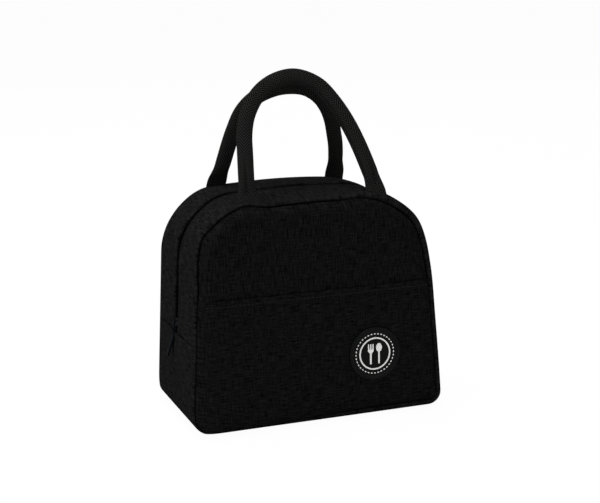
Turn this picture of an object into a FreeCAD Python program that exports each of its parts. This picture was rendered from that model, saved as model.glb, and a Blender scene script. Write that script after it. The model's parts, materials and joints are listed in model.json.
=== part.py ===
"""Insulated fabric lunch bag with a domed front, a zipped mouth and two webbing handles.

Millimetres. X is the width, Y runs from the front panel to the back panel, Z is up, and the
origin is the middle of the flat base. The cloth, foam and foil of each wall are separate layers.
A layer that bends when the mouth is opened is made in a lower and an upper piece, which meet at
the bend.
"""
import math
import os

import FreeCAD, Part
import Sketcher

V = FreeCAD.Vector

SIZES = (
    ("bag_width", 220.0, "between the ideal bottom corners, at the floor"),
    ("bag_height", 188.5, "floor to the top of the gusset at its middle"),
    ("seam_depth", 104.0, "front seam to back seam"),
    ("panel_bulge", 13.0, "front and back stand this far out past their seams"),
    ("roll_radius", 11.0, "rounded edge of the front and back"),
    ("base_corner_radius", 14.0, "bottom corners of the dome outline"),
    ("least_corner_radius", 1.0, "smallest bottom corner of an inner layer"),
    ("side_lean", 3.2, "degrees that each side leans inwards"),
    ("shoulder_radius", 47.0, "round shoulders of the dome outline"),
    ("crown_radius", 600.0, "slight bow of the top"),
    ("cloth", 0.8, "outer cloth"),
    ("foam", 4.0, "insulating foam"),
    ("lining", 0.4, "foil lining"),
    ("bend_height", 81.0, "where the front and back bend as the mouth opens"),
    ("zip_end_height", 75.0, "side seam where the zip ends"),
    ("bend_gap", 0.3, "clearance between pieces that part at a bend"),
    ("pocket_height", 113.0, "hem of the front pocket"),
    ("binding_height", 6.0, "bound seam allowance inside the bag"),
    ("binding_thickness", 3.0, "bound seam allowance, through its layers"),
    ("zip_opening", 10.0, "between the folded edges of the zip strips"),
    ("zip_tape", 0.6, "thickness of the zip tape"),
    ("coil_width", 2.2, "one zip coil, across"),
    ("coil_rise", 1.6, "one zip coil, above its tape"),
    ("coil_sink", 0.2, "crown of the coil below the face of the strips"),
    ("coil_gap", 1.6, "between the two coils, for the post of the slider"),
    ("zip_tail", 14.5, "closed end of the zip above the side seam"),
    ("tail_clearance", 0.5, "between the closed end of the zip and the strips"),
    ("slider_length", 11.5, "zip slider along the zip"),
    ("slider_width", 8.4, "zip slider across the zip"),
    ("slider_corner", 2.0, "rounded corners of the slider plates"),
    ("slider_seat", 1.0, "slider above the side seam"),
    ("slider_clearance", 0.2, "slider to coil and tape"),
    ("plate", 1.2, "thickness of the slider plates"),
    ("lip", 0.8, "edge of the slider's outer plate that turns in beside the coil"),
    ("post_width", 1.0, "post between the slider plates, across"),
    ("post_length", 3.0, "post between the slider plates, along"),
    ("bail_length", 8.0, "bail that carries the pull, along"),
    ("bail_width", 1.6, "bail, across"),
    ("bail_bar", 1.0, "bail, thickness"),
    ("bail_opening", 2.2, "room under the bail"),
    ("pull_length", 26.0, "pull tab below its pivot"),
    ("pull_width", 6.4, "pull tab, across"),
    ("pull_thickness", 1.2, "pull tab"),
    ("pull_eye_width", 2.8, "eye of the pull tab, across"),
    ("pull_eye_length", 7.0, "eye of the pull tab, below its crossbar"),
    ("pull_tilt", 15.0, "degrees that the pull stands off the side"),
    ("handle_spread", 116.0, "between the legs of a handle at the seam"),
    ("handle_rise", 109.0, "seam to the middle of the handle's arch, along the handle"),
    ("leg_lean", 8.0, "degrees that the legs draw together"),
    ("handle_width", 13.0, "rolled webbing, in the plane of the arch"),
    ("handle_thickness", 11.0, "rolled webbing, across that plane"),
    ("webbing", 1.7, "thickness of the webbing wall"),
    ("flat_width", 22.0, "flat sewn end of the webbing"),
    ("flat_thickness", 2.4, "flat sewn end of the webbing"),
    ("tab_height", 12.0, "flat end from the seam to where the handle folds"),
    ("tab_root", 16.0, "flat end below the seam line, before it is trimmed to the bag"),
    ("flare_height", 34.0, "seam to where the webbing is fully rolled"),
    ("handle_rest_gap", 0.5, "between the two handles where they lean together"),
    ("badge_radius", 23.0, "rubber badge on the pocket"),
    ("badge_thickness", 2.0, "rubber badge"),
    ("badge_rim", 2.4, "raised rim of the badge"),
    ("badge_sink", 0.6, "face of the badge below its rim"),
    ("badge_across", 45.5, "badge to the right of the middle"),
    ("badge_up", 56.4, "badge above the floor"),
    ("print_radius", 14.0, "white ring printed on the badge"),
    ("print_width", 1.2, "white ring, across"),
    ("print_thickness", 0.2, "white ring"),
)

doc = FreeCAD.newDocument("lunch_bag")
sheet = doc.addObject("Spreadsheet::Sheet", "Sizes")
for row, (alias, number, meaning) in enumerate(SIZES, start=1):
    sheet.set(f"A{row}", meaning)
    sheet.set(f"B{row}", str(number))
    sheet.setAlias(f"B{row}", alias)
doc.recompute()

# Depths of the layers, counted inwards from the outermost cloth.
PANEL = "Sizes.cloth"
FOAM = "2 * Sizes.cloth"
LINING = f"({FOAM} + Sizes.foam)"
INSIDE = f"({LINING} + Sizes.lining)"
BINDING = f"({INSIDE} + Sizes.binding_height)"
COIL_TOP = "(Sizes.cloth + Sizes.coil_sink)"
TAPE_TOP = f"({COIL_TOP} + Sizes.coil_rise)"
TAPE_BACK = f"({TAPE_TOP} + Sizes.zip_tape)"
HALF_SEAM = "Sizes.seam_depth / 2"
HALF_WIDTH = "Sizes.bag_width / 2"


def value(expression):
    """Number that an expression on the sheet stands for."""
    result = sheet.evalExpression(expression.replace("Sizes.", ""))
    return float(getattr(result, "Value", result))


def bind(target, **expressions):
    """Ties properties to the sheet; a double underscore stands for a dot."""
    for name, expression in expressions.items():
        target.setExpression(name.replace("__", "."), expression)
    return target


def plane_of(body, role):
    """One of the body's own origin planes."""
    return next(item for item in body.Origin.OriginFeatures if item.Role == role)


def new_sketch(body, name, role):
    """Empty sketch on one of the body's origin planes."""
    sketch = body.newObject("Sketcher::SketchObject", name)
    sketch.AttachmentSupport = (plane_of(body, role), "")
    sketch.MapMode = "FlatFace"
    return sketch


def drive(sketch, constraint, expression):
    """Adds a dimension that follows the sheet."""
    index = sketch.addConstraint(constraint)
    sketch.setExpression(f"Constraints[{index}]", expression)


def dome_outline(sketch, depth):
    """Draws the domed outline of the bag, as it is at one depth of the wall."""
    inset = value(depth)
    lean = math.radians(value("Sizes.side_lean"))
    normal = V(math.cos(lean), math.sin(lean), 0)
    along = V(-math.sin(lean), math.cos(lean), 0)
    corner_size = f"max(Sizes.base_corner_radius - {depth}; Sizes.least_corner_radius)"
    side_size = f"{HALF_WIDTH} * cos(Sizes.side_lean) - {depth}"
    corner_radius = value(corner_size)
    side = value(side_size)
    shoulder_radius = value("Sizes.shoulder_radius") - inset
    crown_radius = value("Sizes.crown_radius") - inset
    crown = V(0, value("Sizes.bag_height - Sizes.crown_radius"), 0)
    corner_height = inset + corner_radius
    corner = V((side - corner_radius - normal.y * corner_height) / normal.x, corner_height, 0)
    start = normal * (side - shoulder_radius) - crown
    reach = start.dot(along)
    step = math.sqrt(reach ** 2 - start.Length ** 2 + (crown_radius - shoulder_radius) ** 2) - reach
    shoulder = crown + start + along * step
    toward = (shoulder - crown).normalize()

    def left(point):
        return V(-point.x, point.y, 0)

    def arc(centre, radius, first, last):
        circle = Part.Circle(centre, V(0, 0, 1), radius)
        return Part.ArcOfCircle(circle, circle.parameter(first), circle.parameter(last))

    foot = V(corner.x, inset, 0)
    low = corner + normal * corner_radius
    high = shoulder + normal * shoulder_radius
    top = crown + toward * crown_radius
    sketch.addGeometry([
        Part.LineSegment(left(foot), foot),
        arc(corner, corner_radius, foot, low),
        Part.LineSegment(low, high),
        arc(shoulder, shoulder_radius, high, top),
        arc(crown, crown_radius, top, left(top)),
        arc(left(shoulder), shoulder_radius, left(top), left(high)),
        Part.LineSegment(left(high), left(low)),
        arc(left(corner), corner_radius, left(low), left(foot)),
    ], False)
    base, corner_right, side_right, shoulder_right, bow, shoulder_left, side_left, corner_left = range(8)
    for edge in range(8):
        sketch.addConstraint(Sketcher.Constraint("Tangent", edge, 2, (edge + 1) % 8, 1))
    sketch.addConstraint(Sketcher.Constraint("Horizontal", base))
    sketch.addConstraint(Sketcher.Constraint("Equal", corner_right, corner_left))
    sketch.addConstraint(Sketcher.Constraint("Equal", shoulder_right, shoulder_left))
    sketch.addConstraint(Sketcher.Constraint("PointOnObject", bow, 3, -2))
    drive(sketch, Sketcher.Constraint("Distance", -1, 1, side_right, side), side_size)
    drive(sketch, Sketcher.Constraint("Distance", -1, 1, side_left, side), side_size)
    drive(sketch, Sketcher.Constraint("Angle", side_right, math.pi / 2 + lean), "90 + Sizes.side_lean")
    drive(sketch, Sketcher.Constraint("Angle", side_left, -math.pi / 2 - lean), "-90 - Sizes.side_lean")
    drive(sketch, Sketcher.Constraint("Radius", corner_right, corner_radius), corner_size)
    drive(sketch, Sketcher.Constraint("Radius", shoulder_right, shoulder_radius),
          f"Sizes.shoulder_radius - {depth}")
    drive(sketch, Sketcher.Constraint("Radius", bow, crown_radius), f"Sizes.crown_radius - {depth}")
    drive(sketch, Sketcher.Constraint("DistanceY", -1, 1, bow, 3, crown.y),
          "Sizes.bag_height - Sizes.crown_radius")
    if inset > 0:
        drive(sketch, Sketcher.Constraint("DistanceY", -1, 1, base, 1, inset), depth)
    else:
        sketch.addConstraint(Sketcher.Constraint("PointOnObject", base, 1, -1))


def dome_tube(name, depth):
    """The bag from seam to seam, solid, at one depth of the wall."""
    body = doc.addObject("PartDesign::Body", name)
    sketch = new_sketch(body, f"{name}_outline", "XZ_Plane")
    dome_outline(sketch, depth)
    pad = body.newObject("PartDesign::Pad", f"{name}_pad")
    pad.Profile = sketch
    pad.Midplane = True
    bind(pad, Length="Sizes.seam_depth")
    doc.recompute()
    return body


def dome_cushion(name, depth, front):
    """The front or back past its seam, solid, with its rolled edge, at one depth of the wall."""
    body = doc.addObject("PartDesign::Body", name)
    sketch = new_sketch(body, f"{name}_outline", "XZ_Plane")
    bind(sketch, AttachmentOffset__Base__z=HALF_SEAM if front else f"-{HALF_SEAM}")
    dome_outline(sketch, depth)
    pad = body.newObject("PartDesign::Pad", f"{name}_pad")
    pad.Profile = sketch
    pad.Reversed = not front
    bind(pad, Length=f"Sizes.panel_bulge - {depth}")
    doc.recompute()
    faces = pad.Shape.Faces
    outer = max(range(len(faces)), key=lambda index: abs(faces[index].CenterOfMass.y))
    roll = body.newObject("PartDesign::Fillet", f"{name}_roll")
    roll.Base = (pad, [f"Face{outer + 1}"])
    bind(roll, Radius=f"Sizes.roll_radius - {depth}")
    doc.recompute()
    return body


def boolean(kind, name, base, tool):
    """Cut or common of two solids."""
    result = doc.addObject(f"Part::{kind}", name)
    result.Base = base
    result.Tool = tool
    doc.recompute()
    return result


def box(name, x, y, z):
    """Box between pairs of expressions."""
    result = doc.addObject("Part::Box", name)
    for axis, size, (low, high) in zip("xyz", ("Length", "Width", "Height"), (x, y, z)):
        result.setExpression(f"Placement.Base.{axis}", low)
        result.setExpression(size, f"({high}) - ({low})")
    doc.recompute()
    return result


nodes = {}


def keep(name, item):
    """Names a finished piece of the bag."""
    item.Label = name
    nodes[name] = item
    return item


# Parts of space that the layers are divided by. Each reaches past the bag.
OUTSIDE = "Sizes.bag_width"
WIDE = (f"-{OUTSIDE}", OUTSIDE)
DEEP = (f"-{OUTSIDE}", OUTSIDE)
TOP = "2 * Sizes.bag_height"
below_bend = box("below_bend", WIDE, DEEP, (f"-{OUTSIDE}", "Sizes.bend_height"))
above_bend = box("above_bend", WIDE, DEEP, ("Sizes.bend_height + Sizes.bend_gap", TOP))
pocket_top = box("pocket_top", WIDE, DEEP, ("Sizes.bend_height + Sizes.bend_gap", "Sizes.pocket_height"))
below_zip = box("below_zip", WIDE, DEEP, (f"-{OUTSIDE}", "Sizes.zip_end_height"))
STRIP_Z = ("Sizes.zip_end_height + Sizes.bend_gap", TOP)
STRIP_Y = ("Sizes.zip_opening / 2", OUTSIDE)
TAIL_TOP = "Sizes.zip_end_height + Sizes.zip_tail"
CHAIN_Z = (f"{TAIL_TOP} + Sizes.bend_gap", TOP)
TAPE_Y = ("Sizes.coil_gap / 2", "Sizes.zip_opening / 2")
COIL_Y = ("Sizes.coil_gap / 2", "Sizes.coil_gap / 2 + Sizes.coil_width")
TAIL_Y = ("Sizes.coil_gap / 2", "Sizes.zip_opening / 2 - Sizes.tail_clearance")
TAIL_Z = ("Sizes.zip_end_height", TAIL_TOP)


def on_side(span, front):
    """The same stretch of Y, on the front or the rear half of the bag."""
    low, high = span
    return (f"-({high})", f"-({low})") if front else span


# Solid bag at each depth of the wall, between the seams.
tubes = {depth: dome_tube(f"tube_{index}", depth) for index, depth in enumerate(
    ("0", PANEL, FOAM, LINING, INSIDE, BINDING, COIL_TOP, TAPE_TOP, TAPE_BACK))}


def tube_layer(name, outer, inner):
    """One layer of the gusset, all the way round."""
    return boolean("Cut", name, tubes[outer], tubes[inner])


# Lower gusset: one band that is the base and both lower sides.
for name, outer, inner in (("base_gusset", "0", PANEL), ("base_gusset_foam", PANEL, LINING),
                           ("base_gusset_lining", LINING, INSIDE)):
    keep(name, boolean("Common", f"{name}_cut", tube_layer(f"{name}_ring", outer, inner), below_zip))

# Zip strips, zip tapes and zip coils, which run from one side seam over the top to the other.
strip_rings = {
    "zip_strip": tube_layer("strip_ring", PANEL, FOAM),
    "zip_strip_foam": tube_layer("strip_foam_ring", FOAM, LINING),
    "zip_strip_lining": tube_layer("strip_lining_ring", LINING, INSIDE),
}
coil_ring = tube_layer("coil_ring", COIL_TOP, TAPE_TOP)
tape_ring = tube_layer("tape_ring", TAPE_TOP, TAPE_BACK)
for half, front in (("front", True), ("rear", False)):
    strip_space = box(f"{half}_strip_space", WIDE, on_side(STRIP_Y, front), STRIP_Z)
    tape_space = box(f"{half}_tape_space", WIDE, on_side(TAPE_Y, front), CHAIN_Z)
    coil_space = box(f"{half}_coil_space", WIDE, on_side(COIL_Y, front), CHAIN_Z)
    for layer, ring in strip_rings.items():
        keep(f"{half}_{layer}", boolean("Common", f"{half}_{layer}_cut", ring, strip_space))
    keep(f"{half}_zip_tape", boolean("Common", f"{half}_zip_tape_cut", tape_ring, tape_space))
    keep(f"{half}_zip_coil", boolean("Common", f"{half}_zip_coil_cut", coil_ring, coil_space))


def tails(name, ring, span):
    """Closed ends of the zip, front and rear, at both sides of the bag."""
    pieces = []
    for half, front in (("front", True), ("rear", False)):
        space = box(f"{half}_{name}_space", WIDE, on_side(span, front), TAIL_Z)
        pieces.append(boolean("Common", f"{half}_{name}", ring, space))
    group = doc.addObject("Part::Compound", f"{name}_group")
    group.Links = pieces
    doc.recompute()
    return keep(name, group)


tails("zip_tail_tapes", tape_ring, TAIL_Y)
tails("zip_tail_coils", coil_ring, COIL_Y)

# Front and back panels, each of cloth, foam and foil, and the pocket on the front.
for half, front in (("front", True), ("back", False)):
    depths = ("0", PANEL, FOAM, LINING, INSIDE) if front else (PANEL, FOAM, LINING, INSIDE)
    cushions = {depth: dome_cushion(f"{half}_cushion_{index}", depth, front)
                for index, depth in enumerate(depths)}
    for layer, outer, inner in (("panel", PANEL, FOAM), ("foam", FOAM, LINING), ("lining", LINING, INSIDE)):
        shell = boolean("Cut", f"{half}_{layer}_shell", cushions[outer], cushions[inner])
        keep(f"{half}_{layer}_lower", boolean("Common", f"{half}_{layer}_low", shell, below_bend))
        keep(f"{half}_{layer}_upper", boolean("Common", f"{half}_{layer}_high", shell, above_bend))
    if front:
        front_envelope = cushions[PANEL]
        shell = boolean("Cut", "pocket_shell", cushions["0"], cushions[PANEL])
        keep("front_pocket_lower", boolean("Common", "pocket_low", shell, below_bend))
        keep("front_pocket_upper", boolean("Common", "pocket_high", shell, pocket_top))
    else:
        back_envelope = cushions[PANEL]

# Bound seam allowances, which stand inwards all round the two seams.
binding_ring = boolean("Cut", "binding_ring", tubes[INSIDE], tubes[BINDING])
for half, front in (("front", True), ("back", False)):
    stretch = on_side((f"{HALF_SEAM} - Sizes.binding_thickness", HALF_SEAM), front)
    slab = box(f"{half}_binding_slab", WIDE, stretch, (f"-{OUTSIDE}", TOP))
    ring = boolean("Common", f"{half}_binding_whole", binding_ring, slab)
    keep(f"{half}_seam_binding_lower", boolean("Common", f"{half}_binding_low", ring, below_bend))
    keep(f"{half}_seam_binding_upper", boolean("Common", f"{half}_binding_high", ring, above_bend))

# Badge: a rubber disc with a raised rim, sewn on the pocket, with a printed ring.
FRONT_FACE = f"{HALF_SEAM} + Sizes.panel_bulge"


def badge_circle(body, name, lift, radius):
    """Circle on the badge's own centre, at a distance in front of the origin."""
    sketch = new_sketch(body, name, "XZ_Plane")
    bind(sketch, AttachmentOffset__Base__z=lift)
    sketch.addGeometry(Part.Circle(V(0, 0, 0), V(0, 0, 1), value(radius)), False)
    sketch.addConstraint(Sketcher.Constraint("Coincident", 0, 3, -1, 1))
    drive(sketch, Sketcher.Constraint("Radius", 0, value(radius)), radius)
    return sketch


def place_badge(body):
    """Sets a badge piece at its place on the pocket."""
    return bind(body, Placement__Base__x="Sizes.badge_across", Placement__Base__z="Sizes.badge_up")


badge = place_badge(doc.addObject("PartDesign::Body", "badge_body"))
disc = badge.newObject("PartDesign::Pad", "badge_disc")
disc.Profile = badge_circle(badge, "badge_edge", FRONT_FACE, "Sizes.badge_radius")
bind(disc, Length="Sizes.badge_thickness")
doc.recompute()
dish = badge.newObject("PartDesign::Pocket", "badge_dish")
dish.Profile = badge_circle(badge, "badge_face", f"{FRONT_FACE} + Sizes.badge_thickness",
                            "Sizes.badge_radius - Sizes.badge_rim")
bind(dish, Length="Sizes.badge_sink")
doc.recompute()
keep("badge", badge)

ring = place_badge(doc.addObject("PartDesign::Body", "print_body"))
PRINT_FACE = f"{FRONT_FACE} + Sizes.badge_thickness - Sizes.badge_sink"
print_pad = ring.newObject("PartDesign::Pad", "print_pad")
print_pad.Profile = badge_circle(ring, "print_outer", PRINT_FACE, "Sizes.print_radius")
bind(print_pad, Length="Sizes.print_thickness")
doc.recompute()
print_hole = ring.newObject("PartDesign::Pocket", "print_hole")
print_hole.Profile = badge_circle(ring, "print_inner", f"{PRINT_FACE} + Sizes.print_thickness",
                                  "Sizes.print_radius - Sizes.print_width")
bind(print_hole, Length="Sizes.print_thickness")
doc.recompute()
keep("badge_print", ring)

# Zip slider on the left side. Its own frame lies on that side: x is the depth below the outermost
# cloth, z runs up the side from the floor.
PLATE_OUT = f"({COIL_TOP} - Sizes.slider_clearance)"
PLATE_IN = f"({TAPE_BACK} + Sizes.slider_clearance)"
SLIDER_LOW = "(Sizes.zip_end_height + Sizes.slider_seat)"
BAIL_LOW = f"({SLIDER_LOW} + (Sizes.slider_length - Sizes.bail_length) / 2)"
BAIL_FOOT = f"({PLATE_OUT} - Sizes.plate)"
BAIL_TOP = f"({BAIL_FOOT} - Sizes.bail_opening - Sizes.bail_bar)"


def across(size):
    """Stretch of Y as wide as a size, about the middle."""
    return (f"-({size}) / 2", f"({size}) / 2")


def slider_plate(name, outer_face):
    """Plate of the slider with rounded corners."""
    body = doc.addObject("PartDesign::Body", name)
    sketch = new_sketch(body, f"{name}_outline", "YZ_Plane")
    bind(sketch, AttachmentOffset__Base__z=outer_face)
    half = value("Sizes.slider_width / 2")
    low = value(SLIDER_LOW)
    high = low + value("Sizes.slider_length")
    corners = (V(-half, low, 0), V(half, low, 0), V(half, high, 0), V(-half, high, 0))
    for index in range(4):
        sketch.addGeometry(Part.LineSegment(corners[index], corners[(index + 1) % 4]), False)
    for direction, edge in (("Vertical", 1), ("Horizontal", 2), ("Vertical", 3)):
        sketch.addConstraint(Sketcher.Constraint(direction, edge))
    for index in range(4):
        sketch.addConstraint(Sketcher.Constraint("Coincident", index, 2, (index + 1) % 4, 1))
    sketch.addConstraint(Sketcher.Constraint("Symmetric", 0, 1, 0, 2, -2))
    drive(sketch, Sketcher.Constraint("DistanceX", 0, 1, 0, 2, 2 * half), "Sizes.slider_width")
    drive(sketch, Sketcher.Constraint("DistanceY", 1, 1, 1, 2, high - low), "Sizes.slider_length")
    drive(sketch, Sketcher.Constraint("DistanceY", -1, 1, 0, 1, low), SLIDER_LOW)
    pad = body.newObject("PartDesign::Pad", f"{name}_pad")
    pad.Profile = sketch
    bind(pad, Length="Sizes.plate")
    doc.recompute()
    upright = [f"Edge{index}" for index, edge in enumerate(pad.Shape.Edges, start=1)
               if abs(edge.tangentAt(edge.FirstParameter).x) > 0.99]
    rounded = body.newObject("PartDesign::Fillet", f"{name}_corners")
    rounded.Base = (pad, upright)
    bind(rounded, Radius="Sizes.slider_corner")
    doc.recompute()
    return body


LIP_Z = (f"{SLIDER_LOW} + Sizes.slider_corner",
         f"{SLIDER_LOW} + Sizes.slider_length - Sizes.slider_corner")
LIP_Y = ("Sizes.slider_width / 2 - Sizes.lip", "Sizes.slider_width / 2")
LIP_X = (PLATE_OUT, f"{TAPE_TOP} - Sizes.slider_clearance")
slider = doc.addObject("Part::MultiFuse", "slider_fused")
slider.Shapes = [
    slider_plate("outer_plate", BAIL_FOOT),
    slider_plate("inner_plate", PLATE_IN),
    box("slider_post", (BAIL_FOOT, f"{PLATE_IN} + Sizes.plate"), across("Sizes.post_width"),
        (f"{SLIDER_LOW} + Sizes.slider_corner", f"{SLIDER_LOW} + Sizes.slider_corner + Sizes.post_length")),
    box("front_lip", LIP_X, on_side(LIP_Y, True), LIP_Z),
    box("rear_lip", LIP_X, on_side(LIP_Y, False), LIP_Z),
    box("bail_foot_low", (BAIL_TOP, PLATE_OUT), across("Sizes.bail_width"),
        (BAIL_LOW, f"{BAIL_LOW} + Sizes.bail_bar")),
    box("bail_foot_high", (BAIL_TOP, PLATE_OUT), across("Sizes.bail_width"),
        (f"{BAIL_LOW} + Sizes.bail_length - Sizes.bail_bar", f"{BAIL_LOW} + Sizes.bail_length")),
    box("bail_bridge", (BAIL_TOP, f"{BAIL_TOP} + Sizes.bail_bar"), across("Sizes.bail_width"),
        (BAIL_LOW, f"{BAIL_LOW} + Sizes.bail_length")),
]
slider.Refine = True
slider.Placement = FreeCAD.Placement(V(0, 0, 0), FreeCAD.Rotation(V(0, 1, 0), 1))
bind(slider, Placement__Base__x=f"-{HALF_WIDTH}", Placement__Rotation__Angle="Sizes.side_lean * 1 deg")
keep("zip_slider", slider)

# Zip pull: a slim tab whose eye goes round the bail. Its own frame is on its pivot, z up the tab.
PIVOT_DEPTH = f"({BAIL_FOOT} - Sizes.bail_opening / 2)"
PIVOT_UP = f"({BAIL_LOW} + Sizes.bail_bar + Sizes.pull_thickness)"
HALF_PULL = "Sizes.pull_thickness / 2"
tab = box("pull_tab", across("Sizes.pull_thickness"), across("Sizes.pull_width"),
          ("-Sizes.pull_length", HALF_PULL))
eye = box("pull_eye", across("2 * Sizes.pull_thickness"), across("Sizes.pull_eye_width"),
          ("-Sizes.pull_eye_length", f"-{HALF_PULL}"))
pull = boolean("Cut", "pull_cut", tab, eye)
pull.Placement = FreeCAD.Placement(V(0, 0, 0), FreeCAD.Rotation(V(0, 1, 0), 1))
LEAN = "Sizes.side_lean"
bind(pull, Placement__Base__x=f"-{HALF_WIDTH} + {PIVOT_DEPTH} * cos({LEAN}) + {PIVOT_UP} * sin({LEAN})",
     Placement__Base__z=f"{PIVOT_UP} * cos({LEAN}) - {PIVOT_DEPTH} * sin({LEAN})",
     Placement__Rotation__Angle="(Sizes.side_lean + Sizes.pull_tilt) * 1 deg")
keep("zip_pull", pull)

# Handles: webbing rolled round a core, flat at its sewn ends. A handle is drawn upright in its own
# frame, with the seam at z = 0, and then leans until it meets the other handle.
HALF_SPREAD = "Sizes.handle_spread / 2"
ARCH_RADIUS = (f"(({HALF_SPREAD}) * cos(Sizes.leg_lean) - Sizes.handle_rise * sin(Sizes.leg_lean))"
               " / (1 - sin(Sizes.leg_lean))")
SEAT = (f"Sizes.bag_height - Sizes.crown_radius + sqrt(Sizes.crown_radius ^ 2 - ({HALF_SPREAD}) ^ 2)"
        " - Sizes.cloth")
HANDLE_LEAN = (f"asin(({HALF_SEAM} - Sizes.handle_rest_gap / 2 - Sizes.handle_width / 2)"
               " / Sizes.handle_rise)")


def leg_x(height):
    """Middle of a leg, at a distance up the leg."""
    return f"({HALF_SPREAD} - ({height}) * sin(Sizes.leg_lean))"


def leg_z(height):
    """Height of a point at a distance up the leg."""
    return f"(({height}) * cos(Sizes.leg_lean))"


def slot_section(body, name, side, height, width, thickness):
    """Flat-sided round section square to a leg, at a distance up it; side is 1 right, -1 left."""
    sketch = new_sketch(body, name, "XY_Plane")
    sketch.AttachmentOffset = FreeCAD.Placement(V(0, 0, 0), FreeCAD.Rotation(V(0, 1, 0), 1))
    bind(sketch, AttachmentOffset__Base__x=f"{side} * {leg_x(height)}", AttachmentOffset__Base__z=leg_z(height),
         AttachmentOffset__Rotation__Angle=f"{-side} * Sizes.leg_lean * 1 deg")
    radius = value(f"({thickness}) / 2")
    straight = value(f"({width}) / 2") - radius
    right = Part.Circle(V(straight, 0, 0), V(0, 0, 1), radius)
    left = Part.Circle(V(-straight, 0, 0), V(0, 0, 1), radius)
    quarter = math.pi / 2
    sketch.addGeometry([
        Part.LineSegment(V(-straight, -radius, 0), V(straight, -radius, 0)),
        Part.ArcOfCircle(right, -quarter, quarter),
        Part.LineSegment(V(straight, radius, 0), V(-straight, radius, 0)),
        Part.ArcOfCircle(left, quarter, 3 * quarter),
    ], False)
    for edge in range(4):
        sketch.addConstraint(Sketcher.Constraint("Tangent", edge, 2, (edge + 1) % 4, 1))
    sketch.addConstraint(Sketcher.Constraint("Horizontal", 0))
    sketch.addConstraint(Sketcher.Constraint("Symmetric", 1, 3, 3, 3, -1, 1))
    drive(sketch, Sketcher.Constraint("Radius", 1, radius), f"({thickness}) / 2")
    drive(sketch, Sketcher.Constraint("DistanceX", 3, 3, 1, 3, 2 * straight), f"({width}) - ({thickness})")
    return sketch


def arch_path(body, name):
    """Middle line of the rolled webbing: leg, arch, leg."""
    sketch = new_sketch(body, name, "XZ_Plane")
    lean = math.radians(value("Sizes.leg_lean"))
    radius = value(ARCH_RADIUS)
    centre = V(0, value("Sizes.handle_rise") - radius, 0)
    spring = centre + V(math.cos(lean), math.sin(lean), 0) * radius
    foot = V(value(leg_x("Sizes.flare_height")), value(leg_z("Sizes.flare_height")), 0)
    circle = Part.Circle(centre, V(0, 0, 1), radius)
    sketch.addGeometry([
        Part.LineSegment(V(-foot.x, foot.y, 0), V(-spring.x, spring.y, 0)),
        Part.ArcOfCircle(circle, lean, math.pi - lean),
        Part.LineSegment(spring, foot),
    ], False)
    sketch.addConstraint(Sketcher.Constraint("Tangent", 0, 2, 1, 2))
    sketch.addConstraint(Sketcher.Constraint("Tangent", 1, 1, 2, 1))
    sketch.addConstraint(Sketcher.Constraint("PointOnObject", 1, 3, -2))
    drive(sketch, Sketcher.Constraint("Radius", 1, radius), ARCH_RADIUS)
    drive(sketch, Sketcher.Constraint("DistanceY", -1, 1, 1, 3, centre.y), f"Sizes.handle_rise - {ARCH_RADIUS}")
    for line, point, sign in ((0, 1, -1), (2, 2, 1)):
        drive(sketch, Sketcher.Constraint("DistanceX", -1, 1, line, point, sign * foot.x),
              f"{sign} * {leg_x('Sizes.flare_height')}")
        drive(sketch, Sketcher.Constraint("DistanceY", -1, 1, line, point, foot.y), leg_z("Sizes.flare_height"))
    return sketch


def pipe(body, name, width, thickness):
    """Rolled webbing or its core, swept along the arch."""
    section = slot_section(body, f"{name}_section", -1, "Sizes.flare_height", width, thickness)
    path = arch_path(body, f"{name}_path")
    doc.recompute()
    swept = body.newObject("PartDesign::AdditivePipe", name)
    swept.Profile = section
    swept.Spine = (path, ["Edge1", "Edge2", "Edge3"])
    doc.recompute()
    return swept


def lean_over(item, front):
    """Stands a handle piece on its seam, leaning to the middle of the bag."""
    item.Placement = FreeCAD.Placement(V(0, 0, 0), FreeCAD.Rotation(V(1, 0, 0), 1))
    return bind(item, Placement__Base__y=f"{'-' if front else ''}{HALF_SEAM}", Placement__Base__z=SEAT,
                Placement__Rotation__Angle=f"{'-' if front else ''}{HANDLE_LEAN}")


def handle(half, front, envelope):
    """One handle: rolled webbing with flared ends, its core, and the two flat ends on the seam."""
    outer = doc.addObject("PartDesign::Body", f"{half}_webbing_solid")
    pipe(outer, f"{half}_roll", "Sizes.handle_width", "Sizes.handle_thickness")
    for word, side in (("left", -1), ("right", 1)):
        flare = outer.newObject("PartDesign::AdditiveLoft", f"{half}_{word}_flare")
        flare.Profile = slot_section(outer, f"{half}_{word}_fold", side, "Sizes.tab_height",
                                     "Sizes.flat_width", "Sizes.flat_thickness")
        flare.Sections = [slot_section(outer, f"{half}_{word}_rolled", side, "Sizes.flare_height",
                                       "Sizes.handle_width", "Sizes.handle_thickness")]
        flare.Ruled = True
        doc.recompute()
    core = doc.addObject("PartDesign::Body", f"{half}_core_body")
    pipe(core, f"{half}_core", "Sizes.handle_width - 2 * Sizes.webbing",
         "Sizes.handle_thickness - 2 * Sizes.webbing")
    keep(f"{half}_handle_core", lean_over(core, front))
    keep(f"{half}_handle_webbing", boolean("Cut", f"{half}_webbing_hollow", lean_over(outer, front), core))
    for word, side in (("left", -1), ("right", 1)):
        flat = doc.addObject("PartDesign::Body", f"{half}_{word}_flat")
        pad = flat.newObject("PartDesign::Pad", f"{half}_{word}_flat_pad")
        pad.Profile = slot_section(flat, f"{half}_{word}_flat_end", side,
                                   "Sizes.tab_height - Sizes.bend_gap", "Sizes.flat_width", "Sizes.flat_thickness")
        pad.Reversed = True
        bind(pad, Length="Sizes.tab_height - Sizes.bend_gap + Sizes.tab_root")
        lean_over(flat, front)
        doc.recompute()
        above = boolean("Cut", f"{half}_{word}_flat_above", flat, tubes[PANEL])
        keep(f"{half}_handle_tab_{word}", boolean("Cut", f"{half}_{word}_flat_trimmed", above, envelope))


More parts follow.
